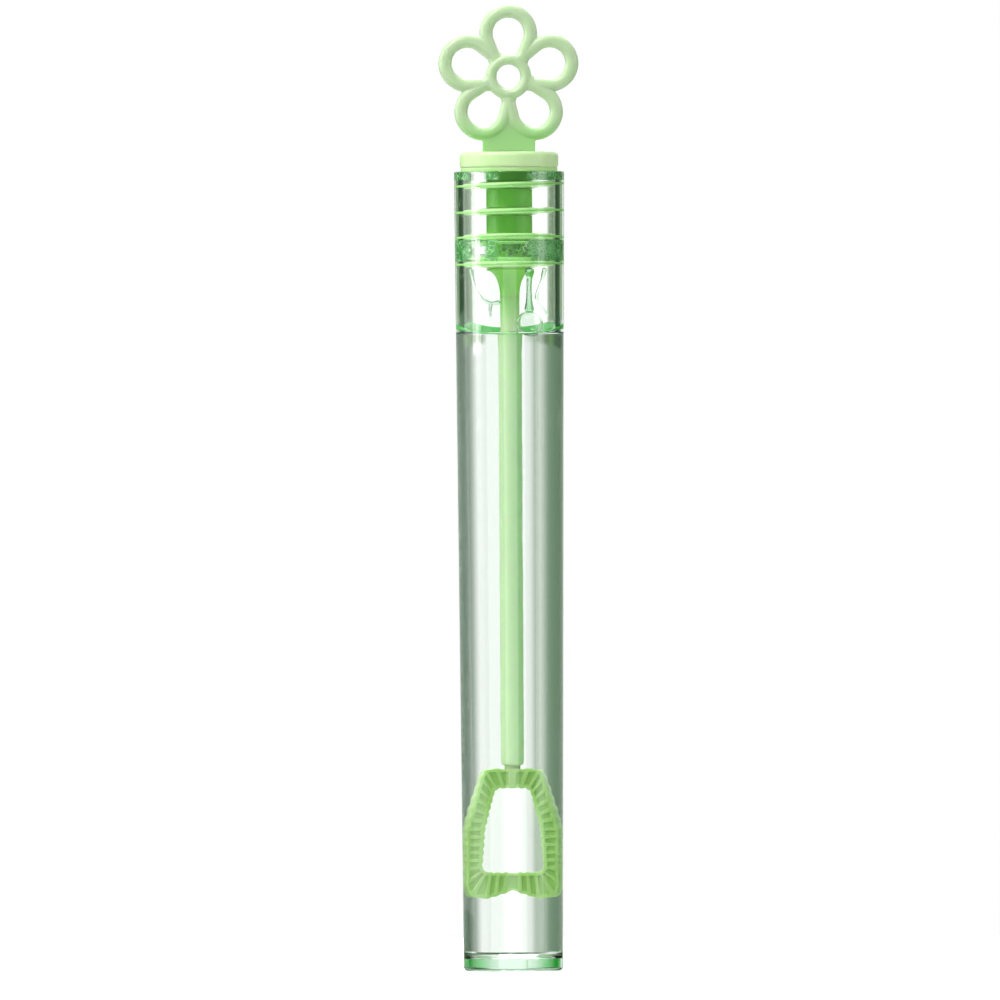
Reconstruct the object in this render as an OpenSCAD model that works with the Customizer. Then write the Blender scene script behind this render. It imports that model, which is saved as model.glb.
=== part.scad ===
// Bubble wand: a flower-topped wand whose stopper closes a clear tube of bubble solution.
// Millimetres. The origin is the middle of the tube's foot, +Z runs up the tube, and the flower faces -Y.

/* [Tube] */
// Height of the tube from its foot to its rim
tube_h = 94; // [84:0.5:110]
// Outside diameter at the rim
mouth_d = 13; // [12.6:0.1:15]
// Outside diameter at the foot
foot_d = 11.7; // [11.2:0.1:12.4]
// Thickness of the wall
wall = 1; // [0.8:0.05:1.2]
// Thickness of the floor
floor_t = 1.45; // [1:0.05:2.5]
// Width of the bevel round the foot
foot_bevel = 0.33; // [0.1:0.01:0.5]
// Height of the bevel round the foot
foot_bevel_h = 0.55; // [0.2:0.05:0.8]
// Rounding inside, where the wall meets the floor
well_r = 0.8; // [0.4:0.1:1.5]
// Bevel on both edges of the rim
rim_bevel = 0.12; // [0.05:0.01:0.2]

/* [Bubble solution] */
// Depth of the liquid's surface below the rim
head_space = 19.2; // [17:0.2:40]
// Height that the liquid climbs at the wall
meniscus_h = 1.4; // [0.5:0.1:1.8]
// Distance from the wall in which the climb falls away
meniscus_run = 1.1; // [0.6:0.1:1.5]
// Gap between the liquid and what it wets
wet_gap = 0.06; // [0.03:0.01:0.15]

/* [Stopper] */
// Height of the collar above its shoulder
collar_h = 1.85; // [1.6:0.05:4]
// Setback of the collar's edge from the tube's outside
collar_setback = 0.7; // [0.3:0.05:0.8]
// Rounding of the collar's edges
collar_round = 0.5; // [0.1:0.05:0.7]
// Height of the shoulder that rests on the rim
shoulder_h = 0.43; // [0.2:0.01:0.8]
// Width of the rim that the shoulder covers
shoulder_seat = 0.2; // [0.15:0.05:0.3]
// Diameter of the core
core_d = 5.4; // [4.6:0.1:7]
// Length of core left below the last ring
core_land = 0.25; // [0.15:0.05:1]
// Height of the flare below the core
flare_h = 3; // [1.5:0.1:4.5]

/* [Seal rings] */
// Drop from the rim to the middle of the first ring
first_ring_drop = 1.6; // [1:0.1:2]
// Distance from ring to ring
ring_pitch = 3.1; // [2:0.1:3.4]
// Thickness of a ring at the core
ring_root_t = 0.9; // [0.7:0.05:1.2]
// Thickness of a ring at its lip
ring_lip_t = 0.6; // [0.4:0.05:0.7]
// Depth of the groove that holds a ring
groove_depth = 0.4; // [0.2:0.05:0.8]
// Gap between a ring's lip and the tube's wall
lip_gap = 0.05; // [0.03:0.01:0.1]
// Gap between a ring and its groove
groove_gap = 0.04; // [0.02:0.01:0.08]

/* [Stem] */
// Diameter where the stem leaves the flare
stem_top_d = 2.3; // [2.1:0.1:3]
// Diameter along the rest of the stem
stem_d = 2; // [1.8:0.1:2.6]
// Length in which the stem narrows
stem_taper_h = 7; // [3:0.5:20]
// Diameter of the peg at the stem's top
peg_d = 1.5; // [1.2:0.1:1.8]
// Length of the peg at the stem's top
peg_h = 4; // [2:0.5:6]
// Bevel at the stem's lower end
stem_bevel = 0.35; // [0.1:0.05:0.5]
// Gap where the wand's own pieces are pressed together
fit_gap = 0.02; // [0.01:0.01:0.05]

/* [Loop] */
// Height of the loop's lowest point above the tube's floor
loop_lift = 7.05; // [3:0.05:20]
// Height of the loop
loop_h = 15.3; // [14:0.1:20]
// Thickness of the loop over its ribs
loop_t = 1.8; // [1.7:0.1:2.4]
// Gap between the loop's widest edges and the tube's wall
loop_side_gap = 0.25; // [0.15:0.05:0.5]
// Height of the loop's upright sides
loop_side_h = 7.9; // [6:0.1:10]
// Width across the loop's top
loop_top_w = 5.3; // [4.6:0.1:6]
// Rounding of the loop's top corners
loop_top_round = 0.9; // [0.3:0.1:1.2]
// Rounding of the loop's lower corners
loop_foot_round = 1.5; // [0.8:0.1:1.8]
// Rounding where the sides start to lean in
loop_hip_round = 3; // [1:0.5:4]
// Height of the notch in the middle of the loop's lower edge
notch_h = 0.9; // [0.4:0.1:1.4]
// Width of the lobe on each side of the notch
lobe_w = 2.35; // [2:0.05:2.8]
// Rounding of the notch
notch_round = 1.2; // [0.6:0.1:1.6]
// Height of the bar below the hole
foot_bar = 3.1; // [2.4:0.1:4]
// Height of the bar above the hole
top_bar = 2.35; // [1.8:0.05:3]
// Width of the side bars at the hole's foot
side_bar_low = 1.7; // [1.3:0.05:2]
// Width of the side bars at the hole's middle
side_bar_mid = 1.95; // [1.5:0.05:2.2]
// Width of the side bars at the hole's top
side_bar_high = 1.7; // [1.3:0.05:2]
// Height of the hole's middle above its foot
hole_mid_h = 5.1; // [3:0.1:6]
// Rounding of the hole's corners
hole_round = 0.7; // [0.3:0.1:0.9]
// Gap between the loop's top and the stem's end
neck_h = 0.35; // [0.1:0.05:0.8]
// Diameter of the tang that goes up into the stem
tang_d = 1.2; // [0.9:0.1:1.4]
// Length of the tang inside the stem
tang_h = 3; // [1.5:0.5:6]

/* [Loop ribs] */
// Height of the ribs above the loop's faces
rib_rise = 0.22; // [0.1:0.02:0.3]
// Distance that the ribs stand out past the loop's edges
rib_reach = 0.14; // [0.05:0.01:0.2]
// Width of a rib
rib_w = 0.5; // [0.3:0.05:0.6]
// Distance between ribs on the sides
side_rib_pitch = 1; // [0.8:0.05:1.4]
// Distance between ribs on the top bar
top_rib_pitch = 1.3; // [0.9:0.1:1.6]
// Distance between ribs along the foot
foot_rib_pitch = 0.95; // [0.8:0.05:1.4]

/* [Flower] */
// Number of petals, an odd one so that two of them straddle the tab
petals = 5; // [5, 7]
// Height of the flower's middle above the collar
flower_rise = 8.9; // [8.4:0.1:12]
// Distance from the flower's middle to a petal's middle
petal_reach = 5.1; // [4.8:0.1:5.6]
// Outside diameter of a petal
petal_d = 6.8; // [6.2:0.1:7.2]
// Diameter of the round bar that a petal is bent from
bar_d = 1.58; // [1.3:0.02:1.7]
// Lean of a petal's legs towards its middle line, in degrees
petal_pinch = 27; // [22:1:32]
// Outside diameter of the ring in the flower's middle
hub_d = 5.4; // [5:0.1:6]
// Diameter of the hole through that ring
hub_hole_d = 2.78; // [2.2:0.02:3.2]
// Thickness of that ring, front to back
hub_t = 1.9; // [1.7:0.1:2.6]
// Rounding of that ring's edges
hub_round = 0.5; // [0.3:0.05:0.6]
// Width of the tab below the flower
tab_w = 6.2; // [5:0.1:7]
// Thickness of the tab
tab_t = 1.1; // [0.8:0.1:1.4]
// Width of the tab's tongue in the collar
tongue_w = 3.4; // [2.4:0.1:4.4]
// Length of the tab's tongue in the collar
tongue_h = 1.4; // [0.8:0.1:1.6]

/* [Hidden] */
$fn = 96;
// How far a cut runs past the face that it opens
overrun = 0.5;
// Steps in which an arc of an outline is drawn
arc_steps = 6;
// Steps in which a petal's bend is drawn
petal_steps = 18;
// Slices that make half of a petal's round bar
bar_slices = 3;
// Steps in which the liquid's surface is drawn
surface_steps = 12;
ring_count = 4;

// Heights, from the foot up
fill_z = tube_h - head_space;
collar_foot_z = tube_h + shoulder_h;
collar_top_z = collar_foot_z + collar_h;
flower_z = collar_top_z + flower_rise;
ring_z = [for (i = [0:ring_count - 1]) tube_h - first_ring_drop - i * ring_pitch];
groove_w = ring_root_t + 2 * groove_gap;
flare_top_z = ring_z[ring_count - 1] - groove_w / 2 - core_land;
flare_foot_z = flare_top_z - flare_h;
loop_z = floor_t + loop_lift;
stem_foot_z = loop_z + loop_h + neck_h;

// Radii and half widths
mouth_r = mouth_d / 2;
core_r = core_d / 2;
groove_r = core_r - groove_depth;
collar_r = mouth_r - collar_setback;
shoulder_r = in_r(tube_h) + shoulder_seat;
stem_r = stem_d / 2;
stem_top_r = stem_top_d / 2;
loop_half = sqrt(pow(in_r(loop_z) - loop_side_gap, 2) - pow(loop_t / 2, 2));
loop_top_half = loop_top_w / 2;
hub_mid_r = (hub_d + hub_hole_d) / 4;
petal_r = (petal_d - bar_d) / 2;
petal_step = 360 / petals;
bend_end = [petal_r * cos(petal_pinch), petal_reach - petal_r * sin(petal_pinch)];
bend_along = bend_end * [sin(petal_pinch), cos(petal_pinch)];
leg_l = bend_along - sqrt(pow(bend_along, 2) - pow(norm(bend_end), 2) + pow(hub_mid_r, 2));
low_petal_turn = petal_step * floor(petals / 2);

// The tube's outside and inside radius at a height
function out_r(z) = (foot_d + (mouth_d - foot_d) * z / tube_h) / 2;
function in_r(z) = out_r(z) - wall;

function unit(v) = v / norm(v);

// The arc that rounds one corner of an outline
function corner_arc(before, corner, after, radius) =
    let (
        back = unit(before - corner),
        on = unit(after - corner),
        half = acos(back * on) / 2,
        middle = corner + unit(back + on) * radius / sin(half),
        first = corner + back * radius / tan(half) - middle,
        last = corner + on * radius / tan(half) - middle,
        start = atan2(first.y, first.x),
        sweep = (atan2(last.y, last.x) - start + 540) % 360 - 180
    )
    [for (i = [0:arc_steps]) middle + radius * [cos(start + sweep * i / arc_steps),
                                                sin(start + sweep * i / arc_steps)]];

// An outline from corners given as [place, radius]
function rounded(corners) =
    let (n = len(corners))
    [for (i = [0:n - 1]) each corner_arc(corners[(i + n - 1) % n][0], corners[i][0],
                                         corners[(i + 1) % n][0], corners[i][1])];

// The same corners again on the other side of the middle line, in reverse order
function mirrored(corners) =
    [for (i = [len(corners) - 1:-1:0]) [[-corners[i][0].x, corners[i][0].y], corners[i][1]]];

// Half of the tube's well, from the axis out to the wall, drawn in by a gap
function well_points(gap) =
    let (middle = [in_r(floor_t + well_r) - well_r, floor_t + well_r])
    concat(
        [[0, floor_t + gap]],
        [for (i = [0:arc_steps])
            middle + (well_r - gap) * [sin(90 * i / arc_steps), -cos(90 * i / arc_steps)]]
    );

// Half of the stem, swollen by a gap
function stem_points(gap) = [
    [0, stem_foot_z - gap],
    [stem_r + gap - stem_bevel, stem_foot_z - gap],
    [stem_r + gap, stem_foot_z + stem_bevel],
    [stem_r + gap, flare_foot_z - stem_taper_h],
    [stem_top_r + gap, flare_foot_z],
    [0, flare_foot_z]
];

// Half width of the loop at a height above its lowest point
function loop_half_at(h) =
    loop_half - max(0, h - loop_side_h) * (loop_half - loop_top_half) / (loop_h - loop_side_h);

// The loop's outer edge, grown by a gap
function loop_edge(gap) =
    let (right = [
        [[loop_half - lobe_w, -gap], notch_round],
        [[loop_half + gap, -gap], loop_foot_round],
        [[loop_half + gap, loop_side_h], loop_hip_round],
        [[loop_top_half + gap, loop_h + gap], loop_top_round]
    ])
    rounded(concat([[[0, notch_h - gap], notch_round]], right, mirrored(right)));

// The edge of the loop's hole, shrunk by a gap
function hole_edge(gap) =
    let (
        mid_h = foot_bar + hole_mid_h,
        top_h = loop_h - top_bar,
        right = [
            [[loop_half - side_bar_low - gap, foot_bar + gap], hole_round],
            [[loop_half_at(mid_h) - side_bar_mid - gap, mid_h], loop_hip_round],
            [[loop_half_at(top_h) - side_bar_high - gap, top_h - gap], hole_round]
        ]
    )
    rounded(concat(right, mirrored(right)));

// Stands a flat outline upright, across the tube, with its thickness front to back
module upright(thickness) {
    rotate([90, 0, 0]) linear_extrude(height = thickness, center = true) children();
}

module tube() {
    color([0.80, 0.93, 0.80, 0.35]) rotate_extrude() polygon(concat(
        [
            [0, 0],
            [foot_d / 2 - foot_bevel, 0],
            [out_r(foot_bevel_h), foot_bevel_h],
            [out_r(tube_h - rim_bevel), tube_h - rim_bevel],
            [mouth_r - rim_bevel, tube_h],
            [in_r(tube_h) + rim_bevel, tube_h],
            [in_r(tube_h - rim_bevel), tube_h - rim_bevel]
        ],
        [for (i = [arc_steps + 1:-1:0]) well_points(0)[i]]
    ));
}

// The loop as a plate with its hole, swollen by a gap
module loop_plate(gap, thickness) {
    upright(thickness) difference() {
        polygon(loop_edge(gap));
        polygon(hole_edge(gap));
    }
}

module bubble_solution() {
    surface_r = in_r(fill_z) - wet_gap;
    color([0.90, 0.97, 0.90, 0.35]) difference() {
        rotate_extrude() polygon(concat(
            well_points(wet_gap),
            [for (i = [0:surface_steps - 1])
                let (out = pow(i / surface_steps, 2) * surface_r)
                [surface_r - out, fill_z + meniscus_h * exp(-out / meniscus_run)]],
            [[0, fill_z]]
        ));
        rotate_extrude() polygon(stem_points(wet_gap));
        translate([0, 0, loop_z]) {
            loop_plate(wet_gap, loop_t + 2 * wet_gap);
            translate([0, 0, loop_h]) cylinder(d = tang_d + 2 * wet_gap, h = neck_h + stem_bevel);
        }
    }
}

// Half of the stopper, from the flare up to the collar's top
module stopper_half() {
    flare_w = core_r - stem_top_r;
    polygon(concat(
        [[0, flare_foot_z]],
        [for (i = [0:arc_steps]) [core_r - flare_w * cos(90 * i / arc_steps),
                                  flare_foot_z + flare_h * sin(90 * i / arc_steps)]],
        [for (i = [ring_count - 1:-1:0]) each [
            [core_r, ring_z[i] - groove_w / 2],
            [groove_r, ring_z[i] - groove_w / 2],
            [groove_r, ring_z[i] + groove_w / 2],
            [core_r, ring_z[i] + groove_w / 2]
        ]],
        [[core_r, tube_h], [shoulder_r, tube_h], [shoulder_r, collar_foot_z]],
        corner_arc([0, collar_foot_z], [collar_r, collar_foot_z], [collar_r, collar_top_z], collar_round),
        corner_arc([collar_r, collar_foot_z], [collar_r, collar_top_z], [0, collar_top_z], collar_round),
        [[0, collar_top_z]]
    ));
}

module stopper() {
    slot = [tongue_w, tab_t, tongue_h] + fit_gap * [2, 2, 1];
    color([0.42, 0.72, 0.29]) difference() {
        rotate_extrude() stopper_half();
        translate([-slot.x / 2, -slot.y / 2, collar_top_z - slot.z]) cube(slot + [0, 0, overrun]);
        translate([0, 0, flare_foot_z - overrun])
            cylinder(d = peg_d + 2 * fit_gap, h = peg_h + fit_gap + overrun);
    }
}

// One ring, thick where its groove holds it and thin where it meets the tube's wall
module seal_ring(z) {
    lip_r = in_r(z) - lip_gap;
    upper = [
        [lip_r, ring_lip_t / 2],
        [core_r, ring_root_t / 2],
        [groove_r + groove_gap, ring_root_t / 2]
    ];
    color([0.72, 0.90, 0.62]) translate([0, 0, z])
        rotate_extrude() polygon(concat(upper, [for (i = [2:-1:0]) [upper[i].x, -upper[i].y]]));
}

module wand_stem() {
    color([0.62, 0.81, 0.54]) difference() {
        union() {
            rotate_extrude() polygon(stem_points(0));
            translate([0, 0, flare_foot_z - overrun]) cylinder(d = peg_d, h = peg_h + overrun);
        }
        translate([0, 0, stem_foot_z - overrun])
            cylinder(d = tang_d + 2 * fit_gap, h = tang_h + fit_gap + overrun);
    }
}

// Bars that cross the loop's frame, which the loop's outline then trims
module rib_comb() {
    side_ribs = floor((loop_h - top_bar - foot_bar) / side_rib_pitch);
    top_ribs = floor(loop_top_half / top_rib_pitch);
    fan_r = foot_bar + hole_mid_h;
    fan_step = atan(foot_rib_pitch / fan_r);
    fan_ribs = floor(atan(loop_half / fan_r) / fan_step);
    depth = loop_t + 2 * overrun;
    for (i = [1:side_ribs])
        translate([-loop_half - overrun, -depth / 2, foot_bar + i * side_rib_pitch - rib_w / 2])
            cube([2 * (loop_half + overrun), depth, rib_w]);
    for (i = [-top_ribs:top_ribs])
        translate([i * top_rib_pitch - rib_w / 2, -depth / 2, loop_h - top_bar])
            cube([rib_w, depth, top_bar + overrun]);
    for (i = [-fan_ribs:fan_ribs])
        translate([0, 0, fan_r]) rotate([0, i * fan_step, 0])
            translate([-rib_w / 2, -depth / 2, -loop_h])
                cube([rib_w, depth, loop_h - hole_mid_h]);
}

module bubble_loop() {
    color([0.60, 0.80, 0.52]) translate([0, 0, loop_z]) {
        loop_plate(-rib_reach, loop_t - 2 * rib_rise);
        intersection() {
            loop_plate(0, loop_t);
            rib_comb();
        }
        translate([0, 0, loop_h - top_bar / 2]) cylinder(d = tang_d, h = top_bar / 2 + neck_h + tang_h);
    }
}

// Outline of one petal above the flower's middle, bent at a radius, with two legs that run in to the ring
function petal_line(radius) =
    let (
        middle = [0, petal_reach],
        end = middle + radius * [cos(petal_pinch), -sin(petal_pinch)]
            - leg_l * [sin(petal_pinch), cos(petal_pinch)],
        sweep = 180 + 2 * petal_pinch
    )
    concat(
        [for (i = [0:petal_steps])
            let (turn = sweep * i / petal_steps - petal_pinch)
            middle + radius * [cos(turn), sin(turn)]],
        [[-end.x, end.y], end]
    );

// The petals' round bars, as slices that grow thinner towards the front and back
module petal_bars() {
    bar_r = bar_d / 2;
    for (i = [0:bar_slices - 1]) {
        half_w = bar_r * cos(90 * i / bar_slices);
        depth = bar_d * sin(90 * (i + 1) / bar_slices);
        upright(depth) for (k = [0:petals - 1]) rotate(k * petal_step) difference() {
            polygon(petal_line(petal_r + half_w));
            polygon(petal_line(petal_r - half_w));
        }
    }
}

// The disc in the flower's middle, before its hole is cut
module hub_disc() {
    edge = [hub_d, hub_t] / 2;
    rotate([90, 0, 0]) rotate_extrude() polygon(concat(
        [[0, -edge.y]],
        corner_arc([0, -edge.y], [edge.x, -edge.y], edge, hub_round),
        corner_arc([edge.x, -edge.y], edge, [0, edge.y], hub_round),
        [[0, edge.y]]
    ));
}

// The straight round hole through the flower's middle, opening out at both faces
module hub_hole() {
    inner = hub_hole_d / 2;
    land = hub_t / 2 - hub_round;
    flared = hub_round + overrun;
    rotate([90, 0, 0]) rotate_extrude() polygon([
        [0, -land - flared],
        [inner + flared, -land - flared],
        [inner, -land],
        [inner, land],
        [inner + flared, land + flared],
        [0, land + flared]
    ]);
}

// The flat tab below the flower, cut back to the middle of the two lowest petals' bars
module tab() {
    low_petal = petal_reach * [sin(low_petal_turn), cos(low_petal_turn)];
    upright(tab_t) difference() {
        translate([-tab_w / 2, -flower_rise]) square([tab_w, flower_rise + low_petal.y]);
        for (side = [-1, 1]) translate([side * low_petal.x, low_petal.y]) circle(r = petal_r);
    }
    translate([-tongue_w / 2, -tab_t / 2, -flower_rise - tongue_h])
        cube([tongue_w, tab_t, tongue_h + overrun]);
}

module flower_topper() {
    color([0.75, 0.92, 0.63]) translate([0, 0, flower_z]) {
        difference() {
            union() {
                petal_bars();
                hub_disc();
            }
            hub_hole();
        }
        tab();
    }
}

tube();
bubble_solution();
stopper();
seal_ring(ring_z[0]);  // seal_ring_1
seal_ring(ring_z[1]);  // seal_ring_2
seal_ring(ring_z[2]);  // seal_ring_3
seal_ring(ring_z[3]);  // seal_ring_4
wand_stem();
bubble_loop();
flower_topper();
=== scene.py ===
"""A bubble wand in its tube of bubble solution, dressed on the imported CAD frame."""

import logging
import math
import random
from dataclasses import dataclass, field
from enum import Enum
from typing import Any, Iterable, Sequence

import bpy
from mathutils import Matrix, Vector


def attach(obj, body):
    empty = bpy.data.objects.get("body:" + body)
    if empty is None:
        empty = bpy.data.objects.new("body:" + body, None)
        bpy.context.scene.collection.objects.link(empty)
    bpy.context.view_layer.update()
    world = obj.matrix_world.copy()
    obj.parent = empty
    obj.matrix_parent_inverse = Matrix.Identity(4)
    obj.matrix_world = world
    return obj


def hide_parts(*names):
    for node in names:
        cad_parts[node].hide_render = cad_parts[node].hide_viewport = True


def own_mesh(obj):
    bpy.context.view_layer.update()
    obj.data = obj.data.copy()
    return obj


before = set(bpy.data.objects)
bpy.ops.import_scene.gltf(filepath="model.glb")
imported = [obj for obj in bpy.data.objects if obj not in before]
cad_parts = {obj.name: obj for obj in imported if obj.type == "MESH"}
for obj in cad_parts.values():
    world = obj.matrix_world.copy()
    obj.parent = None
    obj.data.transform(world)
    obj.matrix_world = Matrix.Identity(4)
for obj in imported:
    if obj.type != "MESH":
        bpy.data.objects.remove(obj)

LOG = logging.getLogger("bubble_wand")
MM = 0.001
UP = (0.0, 0.0, 1.0)
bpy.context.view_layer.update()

Point = tuple[float, float, float]
Flat = tuple[float, float]
Colour = tuple[float, float, float]
Tones = tuple[tuple[float, Colour], ...]


class Body(Enum):
    """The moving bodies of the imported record."""

    TUBE = "tube"
    SEALS = "seals"
    WAND = "wand"


class Slot(Enum):
    """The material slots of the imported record."""

    TUBE = "tube"
    SOLUTION = "solution"
    STOPPER = "stopper"
    SEAL = "seal"
    STEM = "stem"
    LOOP = "loop"
    TOPPER = "topper"


class Lit(Enum):
    """What a lamp gives: shading, gleams or both."""

    BOTH = "both"
    DIFFUSE = "diffuse"
    GLOSS = "gloss"


class Wire:
    """An output socket whose arithmetic adds Math nodes to its tree."""

    def __init__(self, graph: "Graph", socket: bpy.types.NodeSocket) -> None:
        """Keeps the socket and the graph that it belongs to."""
        self.graph = graph
        self.socket = socket

    def _math(self, operation: str, first: Any, second: Any) -> "Wire":
        """Adds one Math node and returns its result."""
        return self.graph.node("ShaderNodeMath", {"operation": operation}, {0: first, 1: second})

    def __add__(self, other: Any) -> "Wire":
        """This value plus another."""
        return self._math("ADD", self, other)

    __radd__ = __add__

    def __sub__(self, other: Any) -> "Wire":
        """This value less another."""
        return self._math("SUBTRACT", self, other)

    def __rsub__(self, other: Any) -> "Wire":
        """Another value less this one."""
        return self._math("SUBTRACT", other, self)

    def __mul__(self, other: Any) -> "Wire":
        """This value times another."""
        return self._math("MULTIPLY", self, other)

    __rmul__ = __mul__

    def __truediv__(self, other: Any) -> "Wire":
        """This value over another."""
        return self._math("DIVIDE", self, other)

    def __rtruediv__(self, other: Any) -> "Wire":
        """Another value over this one."""
        return self._math("DIVIDE", other, self)

    def __abs__(self) -> "Wire":
        """This value without its sign."""
        return self._math("ABSOLUTE", self, 0.0)

    def larger(self, other: Any) -> "Wire":
        """The larger of this value and another."""
        return self._math("MAXIMUM", self, other)

    def step(self, low: float, high: float) -> "Wire":
        """A smooth rise from 0 at low to 1 at high, or a fall where low is the larger.

        Args:
            low: The value at which the result is 0.
            high: The value at which the result is 1.

        Returns:
            The eased value.
        """
        return self.graph.node(
            "ShaderNodeMapRange",
            {"interpolation_type": "SMOOTHSTEP"},
            {"Value": self, "From Min": low, "From Max": high},
        )


class Graph:
    """A node tree of a material or a world, with one method that adds any node."""

    def __init__(self, tree: bpy.types.NodeTree) -> None:
        """Takes a tree and empties it."""
        self.tree = tree
        self.tree.nodes.clear()

    def node(
        self,
        kind: str,
        settings: dict[str, Any] | None = None,
        inputs: dict[str | int, Any] | None = None,
        output: str | int = 0,
    ) -> Wire:
        """Adds a node.

        Args:
            kind: The node's type.
            settings: Its own settings, set first; "stops" holds a ramp's places and colours.
            inputs: Values or wires for its sockets.
            output: The socket that is handed back.

        Returns:
            The wire of that output, or of no socket where the node has none.
        """
        made = self.tree.nodes.new(kind)
        for name, value in (settings or {}).items():
            if name == "stops":
                stops = made.color_ramp.elements
                while len(stops) < len(value):
                    stops.new(1.0)
                for stop, (place, colour) in zip(stops, value):
                    stop.position = place
                    stop.color = (*colour, 1.0)
            else:
                setattr(made, name, value)
        for name, value in (inputs or {}).items():
            socket = made.inputs[name]
            if isinstance(value, Wire):
                self.tree.links.new(value.socket, socket)
            elif isinstance(value, tuple) and socket.type == "RGBA":
                socket.default_value = (*value, 1.0)
            else:
                socket.default_value = value
        return Wire(self, made.outputs[output] if len(made.outputs) else None)

    def place(self, stretch: Point = (1.0, 1.0, 1.0)) -> Wire:
        """The place on the piece in object coordinates, stretched along each axis."""
        here = self.node("ShaderNodeTexCoord", output="Object")
        return self.node("ShaderNodeMapping", inputs={"Vector": here, "Scale": stretch})

    def noise(self, scale: float, detail: float = 2.0, stretch: Point = (1.0, 1.0, 1.0)) -> Wire:
        """A soft noise over the piece.

        Args:
            scale: Swells to the metre.
            detail: Finer layers added.
            stretch: How much each axis is drawn together.

        Returns:
            A value about 0.5.
        """
        return self.node(
            "ShaderNodeTexNoise",
            inputs={"Vector": self.place(stretch), "Scale": scale, "Detail": detail},
        )

    def mix(self, share: Wire, first: Any, second: Any) -> Wire:
        """Two colours mixed.

        Args:
            share: 0 for the first, 1 for the second.
            first: A colour or a wire of one.
            second: A colour or a wire of one.

        Returns:
            The mixed colour.
        """
        return self.node(
            "ShaderNodeMix",
            {"data_type": "RGBA"},
            {0: share, 6: first, 7: second},
            output=2,
        )

    def bump(self, height: Wire, strength: float, distance: float) -> Wire:
        """A normal that is tilted by a height.

        Args:
            height: The relief.
            strength: How much of it shows.
            distance: Its depth in metres.

        Returns:
            The tilted normal.
        """
        return self.node(
            "ShaderNodeBump", inputs={"Height": height, "Strength": strength, "Distance": distance}
        )


def new_material(name: str) -> tuple[bpy.types.Material, Graph]:
    """A new material with an empty node tree.

    Args:
        name: The material's name.

    Returns:
        The material and its graph.
    """
    material = bpy.data.materials.new(name)
    material.use_nodes = True
    return material, Graph(material.node_tree)


@dataclass(frozen=True)
class MouldedPlastic:
    """Soft polyethylene: cloudy colour that lets a little light in, with a faint mould grain."""

    name: str
    colour: Colour
    deep: Colour
    roughness: float = 0.34
    glow: float = 0.25
    glow_depth: float = 0.0012
    groove: Colour | None = None
    low_colour: Colour | None = None
    low_z: float = 0.0
    high_z: float = 1.0

    def material(self) -> bpy.types.Material:
        """Builds the finish.

        Returns:
            The material.
        """
        material, g = new_material(self.name)
        cloud = g.noise(260.0, 3.0)
        flow = g.noise(900.0, 2.0, (1.0, 1.0, 0.25))
        tint = g.mix((cloud * 0.6 + flow * 0.4).step(0.3, 0.7), self.deep, self.colour)
        # The colour changes at a height: on the stopper and the stem this is painted shade in the tube's
        # neck.
        if self.low_colour is not None:
            here = g.node("ShaderNodeSeparateXYZ", inputs={0: g.place()}, output="Z")
            tint = g.mix((here + (cloud - 0.5) * 0.0006).step(self.low_z, self.high_z), self.low_colour, tint)
        # Painted shade: the marked pockets take a darker green.
        if self.groove is not None:
            mark = g.node("ShaderNodeAttribute", {"attribute_name": "groove"}, output="Fac")
            tint = g.mix(mark, tint, self.groove)
        grain = g.noise(5200.0, 2.0)
        shader = g.node(
            "ShaderNodeBsdfPrincipled",
            {"subsurface_method": "RANDOM_WALK"},
            {
                "Base Color": tint,
                "Roughness": self.roughness + (flow - 0.5) * 0.16,
                "IOR": 1.5,
                "Subsurface Weight": self.glow,
                "Subsurface Radius": (0.55, 1.0, 0.35),
                "Subsurface Scale": self.glow_depth,
                "Normal": g.bump(grain * 0.35 + flow * 0.65, 0.12, 0.00006),
            },
        )
        g.node("ShaderNodeOutputMaterial", inputs={"Surface": shader})
        return material


@dataclass(frozen=True)
class ClearPlastic:
    """Clear styrene with a green cast where it is thick, fine scratches and handling marks."""

    name: str
    bend: float = 1.55
    tint: Colour = (0.20, 0.86, 0.34)
    density: float = 34.0

    def material(self) -> bpy.types.Material:
        """Builds the finish.

        Returns:
            The material.
        """
        material, g = new_material(self.name)
        streak = abs(g.noise(420.0, 2.0, (1.0, 1.0, 0.35)) - 0.5).step(0.006, 0.001)
        patch = g.noise(90.0, 1.0).step(0.56, 0.62)
        scratch = streak * patch
        swell = g.noise(60.0, 1.0, (1.0, 1.0, 0.2))
        shader = g.node(
            "ShaderNodeBsdfPrincipled",
            inputs={
                "Base Color": (1.0, 1.0, 1.0),
                "Roughness": 0.004 + scratch * 0.22,
                "IOR": self.bend,
                "Transmission Weight": 1.0,
                "Normal": g.bump(swell * 0.7 + scratch * 0.3, 0.05, 0.0001),
            },
        )
        soak = g.node("ShaderNodeVolumeAbsorption", inputs={"Color": self.tint, "Density": self.density})
        g.node("ShaderNodeOutputMaterial", inputs={"Surface": shader, "Volume": soak})
        return material


@dataclass(frozen=True)
class SoapyWater:
    """Bubble solution: clear and weakly green, with a slow swirl in its surface."""

    name: str
    bend: float = 1.335
    tint: Colour = (0.55, 0.95, 0.62)
    density: float = 6.0
    swirl: float = 0.02

    def material(self) -> bpy.types.Material:
        """Builds the finish.

        Returns:
            The material.
        """
        material, g = new_material(self.name)
        swell = g.noise(180.0, 2.0)
        shader = g.node(
            "ShaderNodeBsdfPrincipled",
            inputs={
                "Base Color": (1.0, 1.0, 1.0),
                "Roughness": (swell - 0.45) * 0.01,
                "IOR": self.bend,
                "Transmission Weight": 1.0,
                "Normal": g.bump(swell, self.swirl, 0.0001),
            },
        )
        soak = g.node("ShaderNodeVolumeAbsorption", inputs={"Color": self.tint, "Density": self.density})
        g.node("ShaderNodeOutputMaterial", inputs={"Surface": shader, "Volume": soak})
        return material


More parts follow.
